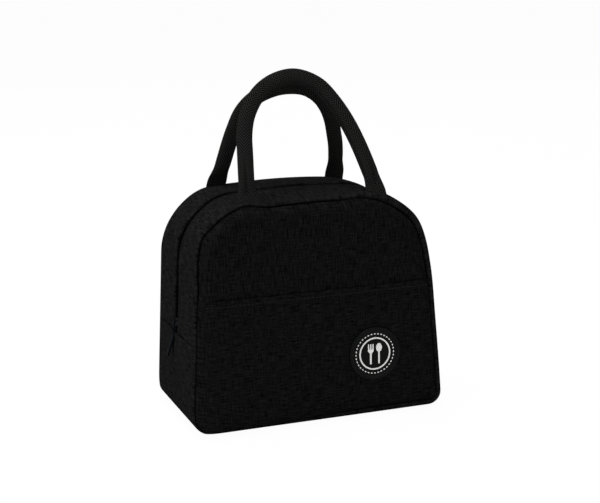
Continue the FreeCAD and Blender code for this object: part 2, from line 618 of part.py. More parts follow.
handle("front", True, front_envelope)
handle("rear", False, back_envelope)

doc.recompute()
for item in doc.Objects:
    if "Invalid" in item.State or "Error" in item.State:
        raise RuntimeError(f"{item.Name} failed: {item.State}")
for name, item in nodes.items():
    shape = item.Shape
    if shape.isNull() or not shape.isValid() or not shape.Solids:
        raise RuntimeError(f"{name} has no sound solid")
os.makedirs("parts", exist_ok=True)
for name, item in nodes.items():
    item.Shape.exportStep(os.path.join("parts", f"{name}.step"))
    bounds = item.Shape.BoundBox
    print(f"{name}: {len(item.Shape.Solids)} solid(s), {item.Shape.Volume:.1f} mm3, "
          f"x {bounds.XMin:.1f} to {bounds.XMax:.1f}, y {bounds.YMin:.1f} to {bounds.YMax:.1f}, "
          f"z {bounds.ZMin:.1f} to {bounds.ZMax:.1f}")
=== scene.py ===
import json
import math

import bmesh
import bpy
import numpy as np
from mathutils import Matrix, Vector, noise


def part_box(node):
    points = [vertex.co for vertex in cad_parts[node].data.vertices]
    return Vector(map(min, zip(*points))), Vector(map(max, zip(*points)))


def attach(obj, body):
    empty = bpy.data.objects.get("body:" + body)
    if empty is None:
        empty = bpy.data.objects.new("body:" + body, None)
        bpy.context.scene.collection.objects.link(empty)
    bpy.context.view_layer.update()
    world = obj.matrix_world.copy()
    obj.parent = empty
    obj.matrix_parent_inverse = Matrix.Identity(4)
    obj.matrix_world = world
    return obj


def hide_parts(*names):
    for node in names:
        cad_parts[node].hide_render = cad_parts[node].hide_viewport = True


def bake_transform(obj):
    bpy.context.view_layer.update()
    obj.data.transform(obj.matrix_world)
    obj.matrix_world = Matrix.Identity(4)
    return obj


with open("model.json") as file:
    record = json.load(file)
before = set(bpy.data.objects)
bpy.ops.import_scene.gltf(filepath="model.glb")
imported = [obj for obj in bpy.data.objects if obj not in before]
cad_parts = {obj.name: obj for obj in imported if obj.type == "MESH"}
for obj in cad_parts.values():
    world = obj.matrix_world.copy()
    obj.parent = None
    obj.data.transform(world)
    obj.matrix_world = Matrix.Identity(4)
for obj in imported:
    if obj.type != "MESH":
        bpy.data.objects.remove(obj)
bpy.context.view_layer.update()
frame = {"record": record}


# Studio. A white table top and a white surround carry the bag. Wide soft lamps stand
# above it, to its left, in front of it and behind it.
scene = bpy.context.scene
scene.view_settings.view_transform = "Standard"


def fed(tree, node, inputs):
    """The node, with given sockets linked to its inputs and other values set on them."""
    for key, value in inputs.items():
        if isinstance(value, bpy.types.NodeSocket):
            tree.links.new(value, node.inputs[key])
        else:
            node.inputs[key].default_value = value
    return node


def added(tree, kind, inputs=None, **settings):
    """A new node in the tree, with those settings and inputs."""
    node = tree.nodes.new(kind)
    for key, setting in settings.items():
        setattr(node, key, setting)
    return fed(tree, node, inputs or {})


def maths(tree, operation, *values):
    """The result of a new sum in the tree."""
    return added(tree, "ShaderNodeMath", dict(enumerate(values)), operation=operation).outputs[0]


def paint(name):
    """A new material, its node tree and its main shader."""
    material = bpy.data.materials.new(name)
    material.use_nodes = True
    return material, material.node_tree, material.node_tree.nodes["Principled BSDF"]


def placed(name, mesh):
    """A new object in the scene with that mesh."""
    piece = bpy.data.objects.new(name, mesh)
    scene.collection.objects.link(piece)
    return piece


def seen_rays(tree):
    """One for the rays that see the studio: from the eye, off gloss and through glass."""
    path = added(tree, "ShaderNodeLightPath").outputs
    first = maths(tree, "MAXIMUM", path["Is Camera Ray"], path["Is Glossy Ray"])
    return maths(tree, "MAXIMUM", first, path["Is Transmission Ray"])


world = bpy.data.worlds.new("studio_surround")
scene.world = world
world.use_nodes = True
surround = world.node_tree
surround_strength = added(
    surround, "ShaderNodeMapRange", {"Value": seen_rays(surround), "To Min": 0.42, "To Max": 1.0}
)
fed(
    surround,
    surround.nodes["Background"],
    {"Color": (1.0, 1.0, 1.0, 1.0), "Strength": surround_strength.outputs[0]},
)

table_half = 16.0
table_drop = 0.0006
table = bpy.data.meshes.new("table_top")
table_corners = [(a * table_half, b * table_half, 0) for a, b in ((-1, -1), (1, -1), (1, 1), (-1, 1))]
table.from_pydata(table_corners, [], [(0, 1, 2, 3)])
table_top = placed("table_top", table)
table_top.location.z = -table_drop
table_white, tree, shader = paint("table_white")
fed(tree, shader, {"Base Color": (0.86, 0.86, 0.86, 1.0), "Roughness": 0.9})
glow = added(tree, "ShaderNodeEmission", {"Strength": 1.0})
glow_share = added(tree, "ShaderNodeMapRange", {"Value": seen_rays(tree), "To Max": 0.965})
table_mix = added(
    tree, "ShaderNodeMixShader", {"Fac": glow_share.outputs[0], 1: shader.outputs[0], 2: glow.outputs[0]}
)
fed(tree, tree.nodes["Material Output"], {"Surface": table_mix.outputs[0]})
table.materials.append(table_white)

for name, spot, aim, size, power in (
    ("overhead_lamp", (-0.5, 0.1, 1.9), (0, 0, 0.1), 1.5, 38.0),
    ("left_lamp", (-1.9, -0.7, 0.9), (0, 0, 0.12), 1.2, 11.0),
    ("front_lamp", (0.5, -2.2, 1.1), (0, 0, 0.12), 1.4, 12.5),
    ("rear_lamp", (0.7, 2.1, 1.2), (0, 0, 0.12), 1.4, 7.0),
):
    light = bpy.data.lights.new(name, "AREA")
    light.shape = "DISK"
    light.size = size
    light.energy = power
    lamp = placed(name, light)
    lamp.location = spot
    lamp.rotation_euler = (Vector(aim) - Vector(spot)).to_track_quat("-Z", "Y").to_euler()

yaw = math.radians(20.2)
pitch = math.radians(12.9)
roll = math.radians(-0.93)
target = Vector((0, 0, 0.1))
eye_distance = 1.212
eye_right = 0.004
eye_up = 0.0333
film_width = 36.0
focal_length = 1409.0 / 600.0
back = Vector((-math.sin(yaw) * math.cos(pitch), -math.cos(yaw) * math.cos(pitch), math.sin(pitch)))
right = (-back).cross(Vector((0, 0, 1))).normalized()
up = right.cross(-back)
rolled_right = math.cos(roll) * right + math.sin(roll) * up
rolled_up = math.cos(roll) * up - math.sin(roll) * right
eye = target + back * eye_distance + rolled_right * eye_right + rolled_up * eye_up
camera = placed("camera", bpy.data.cameras.new("camera"))
camera.data.sensor_width = film_width
camera.data.lens = film_width * focal_length
turned_to = Matrix((rolled_right, rolled_up, back)).transposed().to_4x4()
camera.matrix_world = Matrix.Translation(eye) @ turned_to
scene.camera = camera


# Lower gusset. One band of padded linen-look polyester is sewn round the bottom
# of the bag, from the foot of the zip on one side to the foot on the other.
half_width = 0.1113
side_lean = math.radians(3.2)
base_corner = 0.0115
shoulder_radius = 0.057
crown_radius = 0.600
bag_top = 0.1894
solid_top = 0.1878
seam_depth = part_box("base_gusset")[1][1]
zip_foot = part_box("base_gusset")[1][2]
gusset_wall = 0.0048
seam_wall_share = 0.12
row_step = 0.0024

lean_cos = math.cos(side_lean)
lean_sin = math.sin(side_lean)
corner_x = half_width - base_corner * (1 + lean_sin) / lean_cos
crown_z = bag_top - crown_radius
reach = crown_radius - shoulder_radius
side_x = half_width - shoulder_radius / lean_cos
slope = lean_sin / lean_cos
fit_a = 1 + slope * slope
fit_b = -2 * (side_x * slope + crown_z)
fit_c = side_x * side_x + crown_z * crown_z - reach * reach
shoulder_z = (-fit_b + math.sqrt(fit_b * fit_b - 4 * fit_a * fit_c)) / (2 * fit_a)
shoulder_x = side_x - slope * shoulder_z
crown_angle = math.atan2(shoulder_z - crown_z, shoulder_x)
side_foot = (corner_x + base_corner * lean_cos, base_corner * (1 + lean_sin))
side_head = (shoulder_x + shoulder_radius * lean_cos, shoulder_z + shoulder_radius * lean_sin)
walks = np.cumsum(
    [
        corner_x,
        base_corner * (side_lean + math.pi / 2),
        math.dist(side_head, side_foot),
        shoulder_radius * (crown_angle - side_lean),
        crown_radius * (math.pi / 2 - crown_angle),
    ]
)
half_round = walks[-1]


def walk_to(height):
    """The walk along the outline to that height on the bag's straight side."""
    return walks[1] + (height - side_foot[1]) / lean_cos


def ease(value, start, end):
    """A smooth step from 0 at start to 1 at end."""
    share = np.clip((np.asarray(value, float) - start) / (end - start), 0, 1)
    return share * share * (3 - 2 * share)


def hump(value, middle, width):
    """A smooth rise to 1 at the middle."""
    return np.exp(-(((np.asarray(value, float) - middle) / width) ** 2))


def outline(walk, out=0.0):
    """Points and outward directions along the bag's D outline, walked from the middle of
    its bottom, to the right for a positive walk, and moved outwards by out. The soft bag
    has settled, so its left and right corners and shoulders differ a little."""
    walk = np.asarray(walk, float)
    side = np.where(walk < 0, -1.0, 1.0)
    run = np.clip(np.abs(walk), 0, half_round)
    along = run - walks[1]
    parts = [run < walks[0], run < walks[1], run < walks[2], run < walks[3]]
    angle = np.select(
        parts,
        [
            np.full_like(run, -math.pi / 2),
            -math.pi / 2 + (run - walks[0]) / base_corner,
            np.full_like(run, side_lean),
            side_lean + (run - walks[2]) / shoulder_radius,
        ],
        crown_angle + (run - walks[3]) / crown_radius,
    )
    turn_x = np.cos(angle)
    turn_z = np.sin(angle)
    x = np.select(
        parts,
        [
            run,
            corner_x + base_corner * turn_x,
            side_foot[0] - along * lean_sin,
            shoulder_x + shoulder_radius * turn_x,
        ],
        crown_radius * turn_x,
    )
    z = np.select(
        parts,
        [
            np.zeros_like(run),
            base_corner + base_corner * turn_z,
            side_foot[1] + along * lean_cos,
            shoulder_z + shoulder_radius * turn_z,
        ],
        crown_z + crown_radius * turn_z,
    )
    tucked = 0.0019 * hump(run, (walks[0] + walks[1]) / 2, 0.011)
    raised = 0.0008 * hump(run, walks[3] - 0.014, 0.018)
    spread = 0.0024 * ease(run, walks[0] - 0.05, walks[1]) * (1 - ease(run, walks[1], walk_to(0.12)))
    slack = 0.0034 * hump(run, walks[2] + 0.014, 0.024)
    slack = slack + 0.0040 * hump(run, walks[3] - 0.024, 0.022)
    x = x + np.where(side < 0, raised - tucked, spread - slack)
    z = z + np.where(side < 0, raised + tucked, 0.0)
    return side * (x + out * turn_x), z + out * turn_z, side * turn_x, turn_z


def plain(piece):
    """The piece's modifiers are made part of its mesh."""
    bpy.context.view_layer.update()
    depsgraph = bpy.context.evaluated_depsgraph_get()
    mesh = bpy.data.meshes.new_from_object(piece.evaluated_get(depsgraph), depsgraph=depsgraph)
    piece.modifiers.clear()
    old = piece.data
    piece.data = mesh
    bpy.data.meshes.remove(old)
    mesh.name = piece.name


def thickened(piece, thickness, thinned=None):
    """A wall of that thickness behind the piece, thinner at the points that thinned names."""
    wall = piece.modifiers.new("wall", "SOLIDIFY")
    wall.thickness = thickness
    wall.offset = -1.0
    if thinned is not None:
        padded_points = piece.vertex_groups.new(name="padded")
        padded_points.add([int(i) for i in np.flatnonzero(~thinned)], 1.0, "REPLACE")
        wall.vertex_group = "padded"
        wall.thickness_vertex_group = seam_wall_share
    plain(piece)
    piece.vertex_groups.clear()
    piece.data.shade_smooth()


def woven(name, points, weave, quads):
    """A cloth piece from rows of points, with its weave laid out in metres as a UV map."""
    mesh = bpy.data.meshes.new(name)
    mesh.from_pydata([tuple(point) for point in points], [], [tuple(int(i) for i in quad) for quad in quads])
    layer = mesh.uv_layers.new(name="weave")
    loops = np.empty(len(mesh.loops), np.int32)
    mesh.loops.foreach_get("vertex_index", loops)
    layer.data.foreach_set("uv", np.asarray(weave, np.float32)[loops].ravel())
    mesh.shade_smooth()
    return placed(name, mesh)


def grid_quads(rows, columns, closed=False, flip=False):
    """The faces between rows of points, closed from the last column to the first or open."""
    quads = []
    for i in range(rows - 1):
        for j in range(columns if closed else columns - 1):
            k = (j + 1) % columns
            quad = (i * columns + j, i * columns + k, (i + 1) * columns + k, (i + 1) * columns + j)
            quads.append(quad[::-1] if flip else quad)
    return quads


least_lip = 0.0015


def lip_at(walk):
    """How far the edge of a band rolls onto the face before it turns into the seam. It is
    more on the right and along the bottom, because the filled bag leans that way."""
    more = ease(walk, -0.07, 0.05) * (1 - ease(walk, walks[3] - 0.02, walks[3] + 0.03))
    return least_lip + 0.0034 * more


def edge_turn_at(walk):
    """How far the rolled edge turns in towards the face beside it."""
    more = ease(walk, walks[2] - 0.03, walks[2] + 0.01)
    more = more * (1 - ease(walk, half_round - 0.04, half_round))
    return 0.0013 + 0.0010 * more


def past_at(walk):
    """How far that roll stands forward of the seam."""
    return 0.0017 + 0.9 * (lip_at(walk) - least_lip)


left_stations = walks[3] + np.array([-0.091, -0.075, -0.060, -0.051, -0.039, -0.007, 0.009])
left_rises = (0.0, 0.0012, 0.0036, 0.0068, 0.0050, 0.0034, 0.0)
right_stations = walks[3] + np.array([-0.080, -0.060, -0.040, -0.020, 0.0, 0.014, 0.030])
right_rises = (0.0, 0.0008, 0.0020, 0.0030, 0.0032, 0.0030, 0.0)


def front_full(walk):
    """How far the front seam stands out of the outline at the shoulders. The handle's ends
    pull it up. It runs straight to a blunt corner on the left and rounds off on the right."""
    walk = np.asarray(walk, float)
    rises = []
    for shift in np.linspace(-0.003, 0.003, 9):
        left = np.interp(shift - walk, left_stations, left_rises)
        rises.append(left + np.interp(shift + walk, right_stations, right_rises))
    return np.mean(rises, axis=0)


def section(near, far, cuts):
    """Places across a band of cloth, as depths, and as shares of how far its edge stands
    past a main seam, rolls and turns into it, where the band reaches one."""
    share = np.linspace(0, 1, cuts)
    share = 0.5 * share + 0.5 * (0.5 - 0.5 * np.cos(math.pi * share))
    shares = np.zeros((4, cuts))
    shares[0] = near + (far - near) * share
    swing = np.radians(np.array([15, 30, 45, 60, 75, 90, 110, 130, 150]))
    for edge in (near, far):
        if abs(edge) < seam_depth - 0.0001:
            continue
        edge_shares = np.vstack(
            [
                np.full_like(swing, edge),
                math.copysign(1.0, edge) * np.sin(swing),
                1 - np.clip(np.cos(swing), 0, 1),
                np.clip(-np.cos(swing), 0, 1),
            ]
        )
        shares = np.hstack([edge_shares[:, ::-1], shares] if edge == near else [shares, edge_shares])
    return shares


def banded(name, walk, run, near, far, height, thickness, cuts, flip=False):
    """A band of cloth that follows the outline along the walk and spans the bag's depth
    from near to far. height(walk, depth) is how far it stands off the outline."""
    depth, past, rolled, turned = section(near, far, cuts)
    walk_grid, depth_grid = np.meshgrid(walk, depth, indexing="ij")
    depth_grid = (depth_grid + past_at(walk_grid) * past[None, :]).ravel()
    drop = (lip_at(walk_grid) * rolled[None, :] + edge_turn_at(walk_grid) * turned[None, :]).ravel()
    walk_grid = walk_grid.ravel()
    x, z, turn_x, turn_z = outline(walk_grid)
    held = np.clip(depth_grid, -seam_depth, seam_depth)
    lift = height(walk_grid, held) - drop + front_full(walk_grid) * ease(-held, 0.004, seam_depth)
    points = np.column_stack([x + lift * turn_x, depth_grid, z + lift * turn_z])
    weave = np.column_stack([depth_grid, np.repeat(run, len(depth))])
    piece = woven(name, points, weave, grid_quads(len(walk), len(depth), flip=flip))
    thickened(piece, thickness, np.tile(rolled > 0, len(walk)))
    return piece


def band(name, start, end, near, far, height, thickness, cuts=26):
    """A band round the bottom, or a short one on a side, between two walks."""
    walk = np.linspace(start, end, max(3, int(abs(end - start) / row_step)))
    return banded(name, walk, walk, near, far, height, thickness, cuts)


def toned(tree, share, dark, light, places=(0.0, 1.0)):
    """A colour between two tones, by a share that runs between two places."""
    ramp = added(tree, "ShaderNodeValToRGB", {"Fac": share})
    for element, place, tone in zip(ramp.color_ramp.elements, places, (dark, light)):
        element.position = place
        element.color = (*tone, 1.0)
    return ramp.outputs["Color"]


def bumped(tree, height, strength, distance):
    """A surface that a height dents."""
    inputs = {"Height": height, "Strength": strength, "Distance": distance}
    return added(tree, "ShaderNodeBump", inputs).outputs["Normal"]


def grey(tone, blue=1.0):
    return (tone, tone, tone * blue)


def weave_map(tree):
    return added(tree, "ShaderNodeUVMap", uv_map="weave").outputs["UV"]


def object_place(tree):
    return added(tree, "ShaderNodeTexCoord").outputs["Object"]


def linen(name, dark, light, turned=False, coarse=1.0):
    """Linen-look polyester: a plain weave of black yarn with paler, uneven slub yarns."""
    material, tree, shader = paint(name)
    quarter = math.pi / 2 if turned else 0.0
    turn = added(tree, "ShaderNodeMapping", {"Vector": weave_map(tree), "Rotation": (0.0, 0.0, quarter)})
    turn = turn.outputs["Vector"]
    slub = 0.0
    for across, along, seed, detail, share in (
        (1150.0, 100.0, 0.0, 2.0, 0.52),
        (100.0, 1050.0, 7.0, 2.0, 0.36),
        (900.0, 900.0, 3.0, 3.0, 0.12),
    ):
        scale = (across / coarse, along / coarse, 1.0)
        location = (seed, seed * 0.37, seed)
        stretch = added(tree, "ShaderNodeMapping", {"Vector": turn, "Location": location, "Scale": scale})
        inputs = {"Vector": stretch.outputs["Vector"], "Scale": 1.0, "Detail": detail, "Roughness": 0.62}
        yarn = added(tree, "ShaderNodeTexNoise", inputs)
        slub = maths(tree, "MULTIPLY_ADD", yarn.outputs["Fac"], share, slub)
    yarn_pitch = 0.0007
    waves = []
    for direction in ("X", "Y"):
        inputs = {"Vector": turn, "Scale": math.pi / (10.0 * yarn_pitch), "Distortion": 0.6, "Detail": 1.0}
        wave = added(tree, "ShaderNodeTexWave", inputs, wave_type="BANDS", bands_direction=direction)
        waves.append(wave.outputs["Fac"])
    relief = maths(tree, "MULTIPLY_ADD", slub, 1.6, maths(tree, "MULTIPLY", *waves))
    fed(
        tree,
        shader,
        {
            "Base Color": toned(tree, slub, grey(dark, 0.99), grey(light, 0.99), (0.5 - 0.12, 0.5 + 0.12)),
            "Normal": bumped(tree, relief, 0.55, 0.00022),
            "Roughness": 0.88,
            "Specular IOR Level": 0.0,
            "Sheen Weight": 0.001,
            "Sheen Roughness": 0.5,
        },
    )
    return material


def dressed(piece, material, slot, *nodes):
    """The piece gets its material, and stands for those solids. The slot is not used."""
    piece.data.materials.append(material)
    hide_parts(*nodes)


def gusset_height(walk, depth):
    """The sides swell above the floor and draw in again below the zip's foot."""
    share = 1 - (depth / seam_depth) ** 2
    run = np.abs(walk)
    belly = 0.0026 * ease(run, walks[1], walk_to(0.045))
    belly = belly - 0.0012 * ease(run, walk_to(0.048), walk_to(zip_foot))
    soft = 0.0004 * np.sin(walk * 95.0 + depth * 40.0) * ease(run, walks[1], walk_to(0.04))
    return (belly + soft) * share


# The gusset's cloth is painted lighter than the same cloth on the panels: painted sheen and light for the
# grazing light on the bag's sides.
gusset_linen_painted_sheen = linen("gusset_linen_painted_sheen", 0.0018, 0.0122, turned=True, coarse=1.2)
gusset_end = walk_to(zip_foot)
base_gusset = band(
    "base_gusset_cloth", -gusset_end, gusset_end, -seam_depth, seam_depth, gusset_height, gusset_wall, cuts=40
)
dressed(base_gusset, gusset_linen_painted_sheen, "outer_cloth", "base_gusset", "base_gusset_foam")
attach(base_gusset, "base")


# Foil lining. A heat-sealed silvery film, sewn in against the foam of every panel,
# and lightly crumpled all over.
foil, tree, shader = paint("silver_foil")
place = object_place(tree)
crumple = added(tree, "ShaderNodeTexVoronoi", {"Vector": place, "Scale": 110.0}, feature="F1")
haze = added(tree, "ShaderNodeTexNoise", {"Vector": place, "Scale": 60.0, "Detail": 4.0}).outputs["Fac"]
foil_relief = maths(tree, "ADD", crumple.outputs["Distance"], haze)
fed(
    tree,
    shader,
    {
        "Base Color": toned(tree, haze, (0.50, 0.51, 0.52), (0.68, 0.69, 0.70)),
        "Normal": bumped(tree, foil_relief, 0.5, 0.0012),
        "Metallic": 0.85,
        "Roughness": 0.36,
    },
)
lining_depth = 0.0054
lining_edge = seam_depth - 0.001
film = 0.0004


def lined(height):
    """The height of the lining under cloth of that height."""
    return lambda walk, depth: height(walk, depth) - lining_depth


base_lining = band(
    "base_gusset_foil", -gusset_end, gusset_end, -lining_edge, lining_edge, lined(gusset_height), film
)
dressed(base_lining, foil, "foil_lining", "base_gusset_lining")
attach(base_lining, "base")


# Front and back panels. D-shaped faces of the same cloth over foam, with rolled,
# padded edges, sewn to the gusset and the zip strips all round.
panel_linen = linen("panel_linen", 0.0009, 0.0083)
panel_face = -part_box("front_panel_upper")[0][1]
panel_rise = panel_face - seam_depth
panel_heart = np.array((0.0, 0.092))
panel_wall = 0.0046
edge_rings = 0.0108
seam_gap = 0.0018
tuck_in = 0.0024
tuck_rise = 0.0018
tuck_depth = 0.0016
roll_reach = 0.0125
roll_power = 2.5


def inset_at(walk):
    """How far a face's seam lies inside the outline."""
    return lip_at(walk) + seam_gap + 0.2 * (lip_at(walk) - least_lip)


def rise_at(depth_in):
    """How far a padded face stands out at that distance in from its seam."""
    share = np.clip(np.asarray(depth_in, float) / roll_reach, 0, 1)
    return tuck_rise + (panel_rise - tuck_rise) * (1 - (1 - share) ** roll_power) ** (1 / roll_power)


def roll_profile(inset, proud):
    """The rolled edge in section at every walk, from deep in the seam out to the face, as
    distances in from the outline and outwards, moved off by proud."""
    swing = np.linspace(0, math.pi / 2, 7)[:-1, None]
    inwards = inset + tuck_in * (1 - np.sin(swing))
    rise = tuck_rise - (tuck_rise + tuck_depth) * np.cos(swing) + 0 * inset
    share = 1 - np.cos(np.linspace(0, math.pi / 2, 16))[:, None]
    reached = (edge_rings - inset) * share
    profile = np.stack([np.vstack([inwards, inset + reached]), np.vstack([rise, rise_at(reached)])], axis=2)
    way = np.gradient(profile, axis=0)
    way /= np.linalg.norm(way, axis=2)[:, :, None]
    return profile + proud * np.stack([-way[:, :, 1], way[:, :, 0]], axis=2)


def ripple(points, size, seed):
    """Slow soft noise from -1 to 1 at the points, with waves of that size in metres."""
    shift = Vector((seed * 3.7, seed * 1.3, seed * 5.1))
    return np.array([noise.noise(Vector(point) / size + shift) for point in points])


def swell(points, gaps, seed):
    """The uneven fill of a padded face, calm near its seam and near the floor."""
    slow = ripple(points, 0.055, seed) * 0.0011 + ripple(points, 0.021, seed + 4) * 0.0003
    return slow * ease(gaps, 0.002, 0.02) * ease(points[:, 2], 0.0, 0.03)


def cushion(name, side, thickness, seed, proud=0.0, top=None):
    """A padded D face: rings follow the outline inwards over the rolled edge, and then
    close on the middle. side is -1 for the front and 1 for the back. It ends at the top."""
    around = 340
    walk = np.linspace(-half_round, half_round, around, endpoint=False)
    inset = inset_at(walk)
    full = front_full(walk) if side < 0 else np.zeros(around)
    rim = np.column_stack(outline(walk, full - inset)[:2])

    def gaps_to_rim(points):
        return np.sqrt(((points[:, None, (0, 2)] - rim[None, :, :]) ** 2).sum(2)).min(1)

    rings = []
    for row in roll_profile(inset, proud):
        x, z, _, _ = outline(walk, full - row[:, 0])
        rings.append(np.column_stack([x, seam_depth + row[:, 1], z]))
    last = rings[-1]
    for share in np.linspace(1, 0, 30)[1:-1]:
        ring = last.copy()
        ring[:, (0, 2)] = panel_heart + (last[:, (0, 2)] - panel_heart) * share
        ring[:, 1] = seam_depth + rise_at(gaps_to_rim(ring)) + proud
        rings.append(ring)
    heart = np.array([[panel_heart[0], seam_depth + panel_rise + proud, panel_heart[1]]])
    points = np.concatenate(rings + [heart])
    points[:, 1] += swell(points, gaps_to_rim(points), seed)
    weave = points[:, (0, 2)].copy()
    points[:, 1] *= side
    quads = grid_quads(len(rings), around, closed=True, flip=side > 0)
    pole = len(points) - 1
    first = pole - around
    for j in range(around):
        fan = (first + j, first + (j + 1) % around, pole)
        quads.append(fan[::-1] if side > 0 else fan)
    piece = woven(name, points, weave, quads)
    if top is not None:
        form = bmesh.new()
        form.from_mesh(piece.data)
        bmesh.ops.bisect_plane(
            form,
            geom=form.verts[:] + form.edges[:] + form.faces[:],
            plane_co=(0, 0, top),
            plane_no=(0, 0, 1),
            clear_outer=True,
        )
        form.to_mesh(piece.data)
        form.free()
    thickened(piece, thickness)
    return piece


def folds_with(piece):
    """The piece's placement is made part of its mesh."""
    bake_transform(piece)


front_seed = 2
back_seed = 9
for face, side, seed in (("front", -1, front_seed), ("back", 1, back_seed)):
    padding = cushion(face + "_padded_panel", side, panel_wall, seed)
    panel_nodes = [face + layer + level for layer in ("_panel", "_foam") for level in ("_lower", "_upper")]
    dressed(padding, panel_linen, "outer_cloth", *panel_nodes)
    folds_with(padding)
    inner = cushion(face + "_foil", side, film, seed, proud=-lining_depth)
    dressed(inner, foil, "foil_lining", face + "_lining_lower", face + "_lining_upper")
    folds_with(inner)


# Front pocket. A full-width slip pocket of the same cloth with its yarn turned, sewn
# into the front seams, with its mouth turned over and sewn down with one row of thread.
pocket_linen = linen("pocket_linen", 0.0009, 0.0083, turned=True)
pocket_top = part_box("front_pocket_upper")[1][2] + 0.0022
pocket_wall = 0.0007
pocket_proud = -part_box("front_pocket_upper")[0][1] - panel_face
hem_depth = 0.0085
hem_cover = 0.0012
hem_columns = 150
pocket = cushion(
    "front_pocket_cloth", -1, pocket_wall, front_seed, proud=pocket_proud, top=pocket_top - hem_cover
)
pocket.data.materials.append(pocket_linen)
front_walk = np.linspace(-half_round, half_round, 1400)
front_rim_x, front_rim_z, _, _ = outline(front_walk, -inset_at(front_walk))


def front_at(x, z, proud):
    """A point that far in front of the padded front panel."""
    gap = math.sqrt(((front_rim_x - x) ** 2 + (front_rim_z - z) ** 2).min())
    rise = float(rise_at(gap))
    slow = float(swell(np.array([(x, seam_depth + rise + pocket_proud, z)]), gap, front_seed)[0])
    return Vector((x, -(seam_depth + rise + slow + proud), z))


hem_walk = walk_to(pocket_top)
hem_left = -float(outline(hem_walk, -inset_at(-hem_walk))[0])
hem_right = float(outline(hem_walk, -inset_at(hem_walk))[0])
hem_over = 0.0002
hem_profile = [
    (0.0006, -0.0003),
    (0.0, 0.0004),
    (0.0006, 0.0011),
    (0.002, 0.0013),
    (hem_depth - 0.001, 0.0010),
    (hem_depth, 0.0002),
    (hem_depth, -0.0003),
]
hem_points = []
hem_weave = []
for drop_down, proud in hem_profile:
    for x in np.linspace(hem_left - hem_over, hem_right + hem_over, hem_columns):
        hem_points.append(front_at(x, pocket_top - drop_down, pocket_proud + proud))
        hem_weave.append((x, pocket_top - drop_down))
hem = woven("front_pocket_hem", hem_points, hem_weave, grid_quads(len(hem_profile), hem_columns))
hem.data.materials.append(pocket_linen)


def mottled(name, scale, detail, dark, light, rough, gloss, dents=None):
    """A material mottled by fine noise between two tones. rough can be a range that the
    noise spans, and dents are the strength and depth of its bumps."""
    material, tree, shader = paint(name)
    inputs = {"Vector": object_place(tree), "Scale": scale, "Detail": detail}
    grain = added(tree, "ShaderNodeTexNoise", inputs).outputs["Fac"]
    if isinstance(rough, tuple):
        inputs = {"Value": grain, "To Min": rough[0], "To Max": rough[1]}
        rough = added(tree, "ShaderNodeMapRange", inputs).outputs[0]
    look = {"Base Color": toned(tree, grain, dark, light), "Roughness": rough, "Specular IOR Level": gloss}
    if dents:
        look["Normal"] = bumped(tree, grain, *dents)
    fed(tree, shader, look)
    return material


def stitch_tree():
    """Sets one bead of thread at every point of a run, along it and off the cloth."""
    tree = bpy.data.node_groups.new("sewn_run", "GeometryNodeTree")
    sizes = {"X": "Stitch Length", "Y": "Stitch Width", "Z": "Stitch Height"}
    floats = [(label, "Float") for label in sizes.values()]
    for label, kind in [("Run", "Geometry")] + floats + [("Thread", "Material")]:
        tree.interface.new_socket(label, in_out="INPUT", socket_type="NodeSocket" + kind)
    tree.interface.new_socket("Sewn", in_out="OUTPUT", socket_type="NodeSocketGeometry")
    given = added(tree, "NodeGroupInput").outputs
    bead = added(tree, "GeometryNodeMeshUVSphere", {"Segments": 8, "Rings": 5, "Radius": 0.5})
    size = added(tree, "ShaderNodeCombineXYZ", {axis: given[label] for axis, label in sizes.items()})
    inputs = {"Geometry": bead.outputs["Mesh"], "Scale": size.outputs[0]}
    stitch = added(tree, "GeometryNodeTransform", inputs)
    ways = []
    for label in ("along", "out"):
        way = added(tree, "GeometryNodeInputNamedAttribute", {"Name": label}, data_type="FLOAT_VECTOR")
        ways.append(way.outputs["Attribute"])
    turn = added(tree, "FunctionNodeAlignRotationToVector", {"Vector": ways[0]}, axis="X")
    inputs = {"Rotation": turn.outputs["Rotation"], "Vector": ways[1]}
    turn = added(tree, "FunctionNodeAlignRotationToVector", inputs, axis="Z", pivot_axis="X")
    inputs = {
        "Points": given["Run"],
        "Instance": stitch.outputs["Geometry"],
        "Rotation": turn.outputs["Rotation"],
    }
    copies = added(tree, "GeometryNodeInstanceOnPoints", inputs)
    real = added(tree, "GeometryNodeRealizeInstances", {"Geometry": copies.outputs["Instances"]})
    inputs = {"Geometry": real.outputs["Geometry"], "Material": given["Thread"]}
    sewn = added(tree, "GeometryNodeSetMaterial", inputs)
    added(tree, "NodeGroupOutput", {"Sewn": sewn.outputs["Geometry"]})
    return tree


sewn_run = stitch_tree()


def repeated(name, spots, along, out, length, width, height, thread):
    """A piece made of one bead repeated at the spots, as one plain mesh."""
    mesh = bpy.data.meshes.new(name)
    mesh.from_pydata([tuple(spot) for spot in spots], [], [])
    for label, values in (("along", along), ("out", out)):
        attribute = mesh.attributes.new(label, "FLOAT_VECTOR", "POINT")
        attribute.data.foreach_set("vector", np.asarray(values, np.float32).ravel())
    piece = placed(name, mesh)
    run = piece.modifiers.new("run", "NODES")
    run.node_group = sewn_run
    sizes = {"Stitch Length": length, "Stitch Width": width, "Stitch Height": height, "Thread": thread}
    for item in sewn_run.interface.items_tree:
        if item.name in sizes:
            run[item.identifier] = sizes[item.name]
    plain(piece)
    piece.data.shade_smooth()
    return piece


